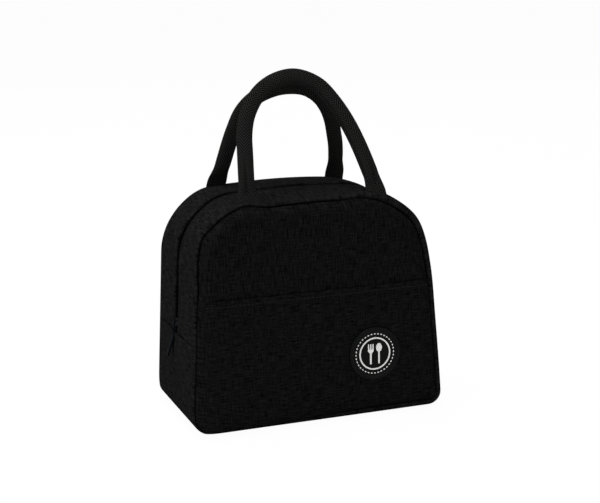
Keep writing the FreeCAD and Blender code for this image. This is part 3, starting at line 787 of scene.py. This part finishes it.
thread_dark = mottled("charcoal_thread", 1800.0, 2.0, grey(0.004), grey(0.010), 0.7, 0.06)
stitch_pitch = 0.0034
stitch_length = 0.0028
stitch_width = 0.0008
stitch_height = 0.0006
stitch_drop = 0.0046
stitch_proud = 0.00125
stitch_margin = 0.003
forwards = (0.0, -1.0, 0.0)
stitch_x = np.arange(hem_left + stitch_margin, hem_right - stitch_margin, stitch_pitch)
stitch_spots = [front_at(x, pocket_top - stitch_drop, pocket_proud + stitch_proud) for x in stitch_x]
stitch_along = np.gradient(np.asarray(stitch_spots, float), axis=0)
stitch_along /= np.linalg.norm(stitch_along, axis=1)[:, None]
hem_stitches = repeated(
    "front_pocket_topstitch",
    stitch_spots,
    stitch_along,
    np.tile(forwards, (len(stitch_spots), 1)),
    stitch_length,
    stitch_width,
    stitch_height,
    thread_dark,
)
for piece in (pocket, hem, hem_stitches):
    folds_with(piece)
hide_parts("front_pocket_lower", "front_pocket_upper")


# Zip strips. Two padded strips of the cloth run from one zip foot over the top to the
# other, sewn to the panels outside and folded under along the zip.
# The strips' cloth is painted lighter than the same cloth on the panels: painted sheen and light for the
# grazing light on the top and sides.
strip_linen_painted_sheen = linen("strip_linen_painted_sheen", 0.0010, 0.0131, turned=True, coarse=1.2)
zip_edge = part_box("rear_zip_strip")[0][1]
strip_start = gusset_end + 0.00005
strip_sink = 0.0008
strip_swell = 0.0011
strip_wall = 0.0046


def strip_crown(walk):
    """How far the middle of the top and sides swells over the zip, past the slider's reach."""
    return strip_swell + 0.0022 * ease(np.abs(walk), gusset_end + 0.058, gusset_end + 0.100)


def strip_height(walk, depth):
    share = 1 - (depth / seam_depth) ** 2
    fold = 0.0012 * np.exp(-np.clip(np.abs(depth) - zip_edge, 0, None) / 0.0006)
    soft = 0.00035 * np.sin(walk * 120.0 + np.sign(depth) * 1.3) * share
    return -strip_sink * share + strip_crown(walk) * share + soft - fold


def over_walk(run):
    """The walk along the outline on a run that climbs the left side and goes over the top."""
    return np.where(run <= half_round, -run, 2 * half_round - run)


def over_top(name, height, start, near, far, thickness, cuts):
    """A strip that follows the outline over the top, from that walk on the left to the
    same on the right, and spans the depth from near to far."""
    run = np.linspace(start, 2 * half_round - start, int(2 * (half_round - start) / row_step))
    return banded(name, over_walk(run), run, near, far, height, thickness, cuts, flip=far > near)


ends = (("front", -1), ("rear", 1))
for end, side in ends:
    near = side * zip_edge
    name = end + "_strip"
    strip = over_top(name + "_cloth", strip_height, strip_start, near, side * seam_depth, strip_wall, 26)
    dressed(strip, strip_linen_painted_sheen, "outer_cloth", end + "_zip_strip", end + "_zip_strip_foam")
    folds_with(strip)
    strip_foil = over_top(
        name + "_foil", lined(strip_height), strip_start, near, side * lining_edge, film, 18
    )
    dressed(strip_foil, foil, "foil_lining", end + "_zip_strip_lining")
    folds_with(strip_foil)


# Seam bindings. A narrow black tape is folded over the raw edges of each main seam
# inside the bag, all the way round.
def ribbed(name, place_of, direction, scale, dark, light, rough, gloss):
    """Dense narrow tape with fine ribs."""
    material, tree, shader = paint(name)
    inputs = {"Vector": place_of(tree), "Scale": scale}
    ribs = added(tree, "ShaderNodeTexWave", inputs, wave_type="BANDS", bands_direction=direction)
    ribs = ribs.outputs["Fac"]
    fed(tree, shader, {"Base Color": toned(tree, ribs, grey(dark), grey(light)), "Roughness": rough})
    fed(tree, shader, {"Normal": bumped(tree, ribs, 0.4, 0.0002), "Specular IOR Level": gloss})
    return material


binding_black = ribbed("binding_black", object_place, "DIAGONAL", 380.0, 0.006, 0.018, 0.75, 0.2)
binding_inner = -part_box("front_seam_binding_upper")[1][1]
binding_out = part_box("front_seam_binding_upper")[1][2] - solid_top
binding_half = (seam_depth - binding_inner) / 2
binding_thick = 0.0026
binding_around = 300
binding_turn = 12

for face, side in (("front", -1), ("back", 1)):
    ring_walk = np.linspace(-half_round, half_round, binding_around, endpoint=False)
    full = front_full(ring_walk) if side < 0 else 0.0
    spots = []
    for angle in np.linspace(0, 2 * math.pi, binding_turn, endpoint=False):
        out = binding_out - binding_thick + binding_thick * math.cos(angle)
        depth = binding_inner + binding_half + binding_half * math.sin(angle)
        x, z, _, _ = outline(ring_walk, out + full)
        spots.append(np.column_stack([x, np.full_like(x, side * depth), z]))
    spots = np.concatenate(spots)
    quads = []
    for i in range(binding_turn):
        here = i * binding_around
        there = (i + 1) % binding_turn * binding_around
        for j in range(binding_around):
            m = (j + 1) % binding_around
            quad = (here + j, there + j, there + m, here + m)
            quads.append(quad if side > 0 else quad[::-1])
    binding = woven(face + "_binding_tape", spots, spots[:, (0, 2)], quads)
    binding_nodes = (face + "_seam_binding_lower", face + "_seam_binding_upper")
    dressed(binding, binding_black, "binding_tape", *binding_nodes)
    folds_with(binding)


# Zip. A black coil zip: two woven tapes sewn under the strips, each with a coil of
# nylon along its edge. Its lowest ends are sewn down at the zip foot on each side.
zip_tape_black = ribbed("zip_tape_black", weave_map, "Y", 420.0, 0.0015, 0.0060, 0.9, 0.002)
coil_nylon = mottled("coil_nylon", 500.0, 2.0, grey(0.0025), (0.0110, 0.0110, 0.0104), 0.6, 0.004)
tape_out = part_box("front_zip_tape")[1][2] - solid_top
coil_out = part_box("front_zip_coil")[1][2] - solid_top
tape_inner = 0.0001
tape_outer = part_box("rear_zip_tape")[1][1] + 0.0012
tape_thick = 0.0006
coil_mesh = 0.0006
coil_middle = (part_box("rear_zip_coil")[1][1] - coil_mesh) / 2
coil_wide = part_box("rear_zip_coil")[1][1] + coil_mesh
coil_high = 0.0016
coil_pitch = 0.00115
coil_wire = coil_pitch * 0.58
coil_slant = 0.18
crown_share = 0.7
side_sink = 0.0012
zip_start = walk_to(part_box("front_zip_tape")[0][2])
tail_high = walk_to(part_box("zip_tail_tapes")[1][2])
tail_low = gusset_end + 0.0002
tail_first = gusset_end + 0.0008
tail_half = 0.0045


def zip_rise(walk):
    """How far the zip stands from the outline: on the crown's ridge, sunk on the sides."""
    sunk = side_sink * (1 - ease(np.abs(walk), walks[2] - 0.03, walks[3]))
    return crown_share * (strip_crown(walk) - strip_swell) - sunk


def tape_height(walk, depth):
    return tape_out + zip_rise(walk)


def coil_run(walk, depth):
    """Spots of a coil's turns with their own directions, across the zip and outwards."""
    x, z, turn_x, turn_z = outline(walk, coil_out - coil_high / 2 + zip_rise(walk))
    none = np.zeros_like(x)
    spots = np.column_stack([x, none + depth, z])
    across = np.column_stack([-turn_z, none, turn_x]) * coil_slant * np.sign(depth) + (0.0, 1.0, 0.0)
    return spots, across, np.column_stack([turn_x, none, turn_z])


def coil_start(start, side):
    """The rear coil's turns lie between the front coil's."""
    return start + (0.25 + 0.25 * side) * coil_pitch


def coiled(name, runs):
    return repeated(name, *runs, coil_wide, coil_wire, coil_high, coil_nylon)


for end, side in ends:
    tape = over_top(
        end + "_tape", tape_height, zip_start, side * tape_inner, side * tape_outer, tape_thick, 6
    )
    dressed(tape, zip_tape_black, "zip_tape", end + "_zip_tape")
    folds_with(tape)
    run = np.arange(coil_start(zip_start, side), 2 * half_round - zip_start, coil_pitch)
    coil = coiled(end + "_coil", coil_run(over_walk(run), side * coil_middle))
    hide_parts(end + "_zip_coil")
    folds_with(coil)

tail_form = bmesh.new()
tail_runs = []
for hand in (-1, 1):
    low, high = sorted((hand * tail_low, hand * tail_high))
    tail = band("tail", low, high, -tail_half, tail_half, tape_height, tape_thick, cuts=8)
    tail_form.from_mesh(tail.data)
    bpy.data.objects.remove(tail)
    for side in (-1, 1):
        turns = np.arange(coil_start(tail_first, side), tail_high, coil_pitch) * hand
        tail_runs.append(coil_run(turns, side * coil_middle))
tail_mesh = bpy.data.meshes.new("zip_tail_tape")
tail_form.to_mesh(tail_mesh)
tail_form.free()
tail_mesh.shade_smooth()
tail_tape = placed("zip_tail_tape", tail_mesh)
dressed(tail_tape, zip_tape_black, "zip_tape", "zip_tail_tapes")
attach(tail_tape, "base")
tail_coil = coiled("zip_tail_coil", [np.concatenate(rows) for rows in zip(*tail_runs)])
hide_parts("zip_tail_coils")
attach(tail_coil, "base")


# Zip slider. Cast metal with a dark satin plating: two plates joined by a wedge, and a
# bail over the outer one that carries the pull.
plated_metal = mottled(
    "plated_metal", 420.0, 5.0, (0.0003, 0.0008, 0.0015), (0.0012, 0.0024, 0.0040), (0.42, 0.60), 0.006
)
slider_low, slider_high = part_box("zip_slider")
slider_half = slider_high[1]
slider_mid = (slider_low[2] + slider_high[2]) / 2
side_up = Vector((lean_sin, 0, lean_cos))
side_out = Vector((-lean_cos, 0, lean_sin))
side_across = Vector((0, -1, 0))
slider_x, slider_z, _, _ = outline(-walk_to(slider_mid), -side_sink)
slider_seat = Vector((float(slider_x), 0, float(slider_z)))


def cast(form, outline_points, low, high, axes, bevel=0.0):
    """Adds a plate with that outline, in metres across and up from a seat, between two
    heights. axes are the seat and the ways across, up and out."""
    seat, across, up, out = axes
    lower = [form.verts.new(seat + across * a + up * b + out * low) for a, b in outline_points]
    upper = [form.verts.new(seat + across * a + up * b + out * high) for a, b in outline_points]
    ends = (form.faces.new(lower[::-1]), form.faces.new(upper))
    count = len(outline_points)
    for i in range(count):
        j = (i + 1) % count
        form.faces.new((lower[i], lower[j], upper[j], upper[i]))
    if bevel:
        rims = [edge for end in ends for edge in end.edges]
        bmesh.ops.bevel(form, geom=rims, offset=bevel, segments=3, affect="EDGES", profile=0.6)


def mirrored(points):
    """An outline from its right half, walked upwards."""
    left = [(-a, b) for a, b in points[::-1]]
    return left[-1:] + points + left[:-1]


def rounded(points, radius, steps=5):
    """An outline with its corners rounded."""
    result = []
    count = len(points)
    for i in range(count):
        before = Vector(points[i - 1])
        here = Vector(points[i])
        after = Vector(points[(i + 1) % count])
        reach = min(radius, (before - here).length * 0.45, (after - here).length * 0.45)
        first = here + (before - here).normalized() * reach
        last = here + (after - here).normalized() * reach
        for k in range(steps + 1):
            t = k / steps
            spot = first * (1 - t) ** 2 + here * 2 * t * (1 - t) + last * t * t
            result.append((spot.x, spot.y))
    return result


def solid_piece(name, form, material, slot, node):
    """A finished hard piece from its form, with its faces turned outwards."""
    bmesh.ops.remove_doubles(form, verts=form.verts, dist=1e-7)
    bmesh.ops.recalc_face_normals(form, faces=form.faces)
    mesh = bpy.data.meshes.new(name)
    form.to_mesh(mesh)
    form.free()
    mesh.shade_smooth()
    mesh.set_sharp_from_angle(angle=math.radians(40))
    piece = placed(name, mesh)
    dressed(piece, material, slot, node)
    return piece


def skinned(form, rings):
    """Adds the faces between rings of points, and closes both ends."""
    rings = [[form.verts.new(spot) for spot in ring] for ring in rings]
    for first, second in zip(rings, rings[1:]):
        for k in range(len(first)):
            m = (k + 1) % len(first)
            form.faces.new((first[k], first[m], second[m], second[k]))
    form.faces.new(rings[0][::-1])
    form.faces.new(rings[-1])


def swept(form, path, across, radius_a, radius_b, sides=10):
    """Adds a rounded bar along a path that lies square to across."""
    rings = []
    for i, spot in enumerate(path):
        ahead = path[min(i + 1, len(path) - 1)] - path[max(i - 1, 0)]
        level = ahead.normalized().cross(across).normalized()
        ring = []
        for k in range(sides):
            angle = 2 * math.pi * k / sides
            ring.append(spot + across * radius_a * math.cos(angle) + level * radius_b * math.sin(angle))
        rings.append(ring)
    skinned(form, rings)


slider_axes = (slider_seat, side_across, side_up, side_out)
plate_top = 0.0006
half_long = ((slider_high[2] - slider_low[2]) / lean_cos - 0.0004) / 2
shield_shares = ((0.62, -1.0), (1.0, -0.1), (1.0, 0.75), (0.7, 1.0))
shield = rounded(mirrored([(slider_half * a, half_long * b) for a, b in shield_shares]), 0.002)
wedge = rounded(mirrored([(0.0006, -0.002), (0.0006, 0.0045)]), 0.0004)
form = bmesh.new()
cast(form, shield, -0.0006, plate_top, slider_axes, 0.0003)
cast(form, shield, -0.0045, -0.0036, slider_axes, 0.0002)
cast(form, wedge, -0.0038, -0.0004, slider_axes)
bail_reach = 0.0034
bail_wide = 0.0009
bail_thick = 0.0005
bail_steps = 20
bail_rise = (Vector((slider_low[0], 0, slider_mid)) - slider_seat).dot(side_out) - bail_thick
bail = []
for k in range(bail_steps + 1):
    t = k / bail_steps
    arch = min(1.0, 1.25 * math.sin(math.pi * t) ** 0.6)
    rise = plate_top - 0.0002 + (bail_rise - plate_top) * arch
    bail.append(slider_seat + side_up * (-bail_reach + 2 * bail_reach * t) + side_out * rise)
swept(form, bail, side_across, bail_wide, bail_thick)
slider = solid_piece("slider_body", form, plated_metal, "zip_metal", "zip_slider")
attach(slider, "zip_slider")


# Zip pull. A slim tab of the same dark metal that hangs from the bail by its eye, with
# a rounded end.
joints = {joint["name"]: joint for joint in frame["record"]["behaviour"]["joints"]}
pull_pivot = Vector(joints["zip_pull_swing"]["pos_m"])
pull_low, pull_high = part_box("zip_pull")
pull_half = pull_high[1]
pull_tilt = side_lean + math.radians(15.0)
pull_up = Vector((math.sin(pull_tilt), 0, math.cos(pull_tilt)))
pull_out = Vector((-math.cos(pull_tilt), 0, math.sin(pull_tilt)))
pull_long = (pull_pivot.z - pull_low[2]) / math.cos(pull_tilt) - 0.0002
pull_thick = 0.0012
eye_low = -0.0066
eye_middle = (eye_low - 0.0016) * 0.5
eye_half = pull_half - 0.0009
eye_bar = 0.0008
eye_steps = 32
eye_power = 0.6


def squarer(wave, power):
    """A wave from -1 to 1 with a broader crest and trough."""
    return math.copysign(abs(wave) ** power, wave)


blade_half = [
    (pull_half * 0.62, -pull_long),
    (pull_half * 0.72, -pull_long * 0.45),
    (pull_half * 0.95, eye_low - 0.002),
]
blade = rounded(mirrored(blade_half), 0.0024)
form = bmesh.new()
pull_axes = (pull_pivot, side_across, pull_up, pull_out)
cast(form, blade, -pull_thick / 2, pull_thick / 2, pull_axes, 0.0003)
loop = []
for k in range(eye_steps):
    angle = math.pi * (1.5 + 2 * k / eye_steps)
    wide = eye_half * squarer(math.cos(angle), eye_power)
    climb = eye_middle - eye_middle * squarer(math.sin(angle), eye_power)
    loop.append(pull_pivot + side_across * wide + pull_up * climb)
swept(form, loop + [loop[0]], pull_out, pull_thick / 2, eye_bar)
pull = solid_piece("pull_tab", form, plated_metal, "zip_metal", "zip_pull")
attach(pull, "zip_pull")


# Badge. A round moulded rubber patch with a raised rim, sewn low on the right of the
# pocket. A plain kitchen sign is printed in white inside its rim.
badge_rubber = mottled(
    "badge_rubber", 900.0, 4.0, (0.0010, 0.0011, 0.0011), (0.0030, 0.0032, 0.0032), 0.42, 0.05, (0.25, 0.0001)
)
badge_low, badge_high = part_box("badge")
badge_radius = (badge_high[0] - badge_low[0]) / 2
badge_x = (badge_high[0] + badge_low[0]) / 2
badge_z = (badge_high[2] + badge_low[2]) / 2
badge_face = badge_high[1]
badge_rim = badge_high[1] - badge_low[1]
print_low, print_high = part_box("badge_print")
print_face = print_high[1]
floor_rise = badge_face - print_face
badge_back = -0.0016
badge_steps = 96


def on_badge(radius, angle, y):
    return (badge_x + radius * math.cos(angle), y, badge_z + radius * math.sin(angle))


badge_profile = [
    (0.004, floor_rise),
    (0.014, floor_rise),
    (badge_radius - 0.0036, floor_rise),
    (badge_radius - 0.0031, floor_rise + 0.0001),
    (badge_radius - 0.0027, badge_rim - 0.0002),
    (badge_radius - 0.0023, badge_rim),
    (badge_radius - 0.0012, badge_rim),
    (badge_radius - 0.0005, badge_rim - 0.0002),
    (badge_radius - 0.0001, badge_rim - 0.0008),
    (badge_radius, 0.0004),
    (badge_radius, badge_back),
    (0.004, badge_back),
]
badge_angles = [2 * math.pi * k / badge_steps for k in range(badge_steps + 1)]
form = bmesh.new()
skinned(form, [[on_badge(r, a, badge_face - rise) for a in badge_angles[:-1]] for r, rise in badge_profile])
badge = solid_piece("badge_disc", form, badge_rubber, "badge_rubber", "badge")
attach(badge, "base")

print_white = mottled("print_white", 1400.0, 3.0, (0.48, 0.48, 0.47), (0.74, 0.74, 0.73), 0.6, 0.25)
print_rise = 0.0002
print_sink = 0.0001
badge_seat = Vector((badge_x, badge_face - floor_rise, badge_z))
badge_axes = (badge_seat, Vector((1, 0, 0)), Vector((0, 0, 1)), Vector((0, -1, 0)))
mm = 0.001
fork = [
    (-0.7, -9.0), (0.7, -9.0), (0.8, 0.2), (2.5, 2.4), (2.5, 8.4), (1.5, 8.4), (1.45, 3.8), (0.55, 3.8),
    (0.5, 8.4), (-0.5, 8.4), (-0.55, 3.8), (-1.45, 3.8), (-1.5, 8.4), (-2.5, 8.4), (-2.5, 2.4), (-0.8, 0.2),
]
spoon = [(-0.7, -9.0), (0.7, -9.0)]
for angle in np.radians(np.linspace(-75, 255, 25)):
    spoon.append((2.6 * math.cos(angle), 4.9 + 3.7 * math.sin(angle)))
form = bmesh.new()
for shape, shift in ((fork, -3.7), (spoon, 3.7)):
    cast(form, [((a + shift) * mm, b * mm) for a, b in shape], -print_sink, print_rise, badge_axes)
ring_out = (print_high[0] - print_low[0]) / 2
ring_in = ring_out - 0.0012
for a, b in zip(badge_angles, badge_angles[1:]):
    corners = []
    for rise in (-print_sink, print_rise):
        for radius, angle in ((ring_in, a), (ring_out, a), (ring_out, b), (ring_in, b)):
            corners.append(form.verts.new(on_badge(radius, angle, badge_seat.y - rise)))
    for quad in ((4, 5, 6, 7), (3, 2, 1, 0), (1, 2, 6, 5), (3, 0, 4, 7)):
        form.faces.new([corners[i] for i in quad])
emblem = solid_piece("badge_sign", form, print_white, "badge_print", "badge_print")
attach(emblem, "base")
dash_count = 36
dash_radius = 0.0170
dash_length = 0.0019
dash_width = 0.0010
dash_height = 0.0005
dash_angle = np.arange(dash_count) * 2 * math.pi / dash_count
dashes = repeated(
    "badge_dashes",
    [on_badge(dash_radius, angle, badge_seat.y) for angle in dash_angle],
    np.column_stack([-np.sin(dash_angle), np.zeros(dash_count), np.cos(dash_angle)]),
    np.tile(forwards, (dash_count, 1)),
    dash_length,
    dash_width,
    dash_height,
    print_white,
)
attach(dashes, "base")


# Handles. Two loops of black herringbone webbing, rolled round a soft core and closed on
# the inner side, opening out flat where their ends are sewn into the top seams.
herringbone_column = 0.0044
herringbone_pitch = 0.0026
webbing_black, tree, shader = paint("webbing_black")
weave = weave_map(tree)
split = added(tree, "ShaderNodeSeparateXYZ", {0: weave}).outputs
column = maths(tree, "PINGPONG", split["X"], herringbone_column)
climb = maths(tree, "MULTIPLY_ADD", column, 1.25, split["Y"])
twill = maths(tree, "SINE", maths(tree, "MULTIPLY", climb, 2 * math.pi / herringbone_pitch))
fuzz = added(tree, "ShaderNodeTexNoise", {"Vector": weave, "Scale": 700.0, "Detail": 4.0})
yarn = maths(tree, "MULTIPLY_ADD", twill, 0.45, fuzz.outputs["Fac"])
fed(
    tree,
    shader,
    {
        "Base Color": toned(tree, yarn, grey(0.0008), (0.0182, 0.0182, 0.0176), (0.3, 0.76)),
        "Normal": bumped(tree, yarn, 0.6, 0.0003),
        "Roughness": 0.8,
        "Specular IOR Level": 0.0,
        "Sheen Weight": 0.002,
    },
)
handle_lean = math.radians(24.53)
handle_seat = 0.18489
rolled_half = 0.0066
rolled_out = 0.0054
flat_half = 0.0088
flat_out = 0.0013
flare_half = 0.0118
end_dip = 0.004
deepest_rise = -0.002
webbing_power = 0.85
slit_angle = 0.35
slit_width = 0.11
slit_depth = 0.0016
mouth_angle = 1.8
mouth_width = 0.16
mouth_depth = 0.0030
front_loop = [
    (-59.3, -8.5), (-57.2, 8.1), (-54.9, 29.3), (-53.0, 45.9), (-51.0, 62.6), (-45.6, 79.3), (-34.6, 95.2),
    (-20.6, 105.0), (-4.8, 109.2), (8.0, 107.0), (20.0, 99.8), (28.2, 89.0), (35.6, 75.8), (41.4, 62.0),
    (46.2, 47.0), (50.0, 32.0), (53.2, 16.2), (55.9, -8.5),
]
rear_loop = [
    (-53.8, -8.0), (-52.8, 6.0), (-49.4, 22.2), (-46.2, 42.4), (-43.0, 58.5), (-38.0, 75.5), (-28.5, 88.0),
    (-14.5, 95.5), (0.0, 98.0), (16.5, 95.6), (30.5, 86.2), (39.8, 74.0), (45.5, 62.0), (49.2, 50.0),
    (53.2, 35.4), (56.0, 16.2), (57.6, -8.0),
]


def smooth_path(points, count):
    """Evenly spaced points on a smooth curve through the given ones."""
    points = np.asarray(points, float)
    ended = np.vstack([2 * points[0] - points[1], points, 2 * points[-1] - points[-2]])
    dense = []
    for a, b, c, d in zip(ended, ended[1:], ended[2:], ended[3:]):
        for t in np.linspace(0, 1, 24, endpoint=False):
            square = (2 * a - 5 * b + 4 * c - d) * t**2
            cube = (3 * b - a - 3 * c + d) * t**3
            dense.append(0.5 * (2 * b + (c - a) * t + square + cube))
    dense.append(points[-1])
    dense = np.array(dense)
    for _ in range(30):
        dense[1:-1] = 0.25 * dense[:-2] + 0.5 * dense[1:-1] + 0.25 * dense[2:]
    length = np.concatenate([[0], np.cumsum(np.linalg.norm(np.diff(dense, axis=0), axis=1))])
    even = np.linspace(0, length[-1], count)
    return np.column_stack([np.interp(even, length, dense[:, 0]), np.interp(even, length, dense[:, 1])]), even


def webbing_loop(name, loop, side):
    """Rolled webbing along a loop in the handle's leaning plane, flat at both ends."""
    stations = 210
    sides = 72
    path, length = smooth_path(np.asarray(loop) * mm, stations)
    ahead = np.gradient(path, axis=0)
    ahead /= np.linalg.norm(ahead, axis=1)[:, None]
    inward = np.column_stack([ahead[:, 1], -ahead[:, 0]])
    from_end = np.minimum(length, length[-1] - length)
    roll_up = ease(from_end, 0.0163, 0.0353)
    narrow = ease(from_end, 0.0143, 0.0303)
    flare = np.where((length < length[-1] / 2) & (side < 0), flare_half, flat_half)
    half_in = flare + (rolled_half - flare) * narrow
    half_away = flat_half + (rolled_half - flat_half) * narrow
    half_out = flat_out + (rolled_out - flat_out) * roll_up
    opening = ease(from_end, 0.0188, 0.0218) * (1 - ease(from_end, 0.0273, 0.0553))
    dip = end_dip * (1 - ease(from_end, 0.0, 0.017))
    points = []
    weave = []
    for i in range(stations):
        run = 0.0
        before = None
        for k in range(sides + 1):
            angle = 2 * math.pi * k / sides
            wide = half_in[i] if math.cos(angle) > 0 else half_away[i]
            a = squarer(math.cos(angle), webbing_power) * wide
            b = squarer(math.sin(angle), webbing_power) * half_out[i]
            turn = math.atan2(math.sin(angle - slit_angle), math.cos(angle - slit_angle))
            slit = hump(turn, 0.0, slit_width) * roll_up[i] * slit_depth
            mouth = hump(angle, mouth_angle, mouth_width) * opening[i] * mouth_depth
            shrink = 1 - (slit + mouth) / max(0.002, math.hypot(a, b))
            a *= shrink
            b *= shrink
            across = path[i, 0] + inward[i, 0] * a
            rise = path[i, 1] + inward[i, 1] * a - dip[i] * max(0.0, -a / wide)
            y = -seam_depth + max(rise, deepest_rise) * math.sin(handle_lean) - b * math.cos(handle_lean)
            z = handle_seat + rise * math.cos(handle_lean) + b * math.sin(handle_lean)
            spot = Vector((across, y, z))
            if before is not None:
                run += (spot - before).length
            before = spot
            points.append((across, y if side < 0 else -y, z))
            weave.append((run, length[i]))
    piece = woven(name, points, weave, grid_quads(stations, sides + 1, flip=side > 0))
    form = bmesh.new()
    form.from_mesh(piece.data)
    bmesh.ops.remove_doubles(form, verts=form.verts, dist=1e-6)
    bmesh.ops.holes_fill(form, edges=[edge for edge in form.edges if edge.is_boundary], sides=0)
    bmesh.ops.recalc_face_normals(form, faces=form.faces)
    form.to_mesh(piece.data)
    form.free()
    piece.data.shade_smooth()
    return piece


for end, side, half, loop in (("front", -1, "front_half", front_loop), ("rear", 1, "rear_half", rear_loop)):
    body = end + "_handle"
    handle = webbing_loop(body + "_loop", loop, side)
    handle_nodes = (body + "_webbing", body + "_core", body + "_tab_left", body + "_tab_right")
    dressed(handle, webbing_black, "handle_webbing", *handle_nodes)
    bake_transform(handle)
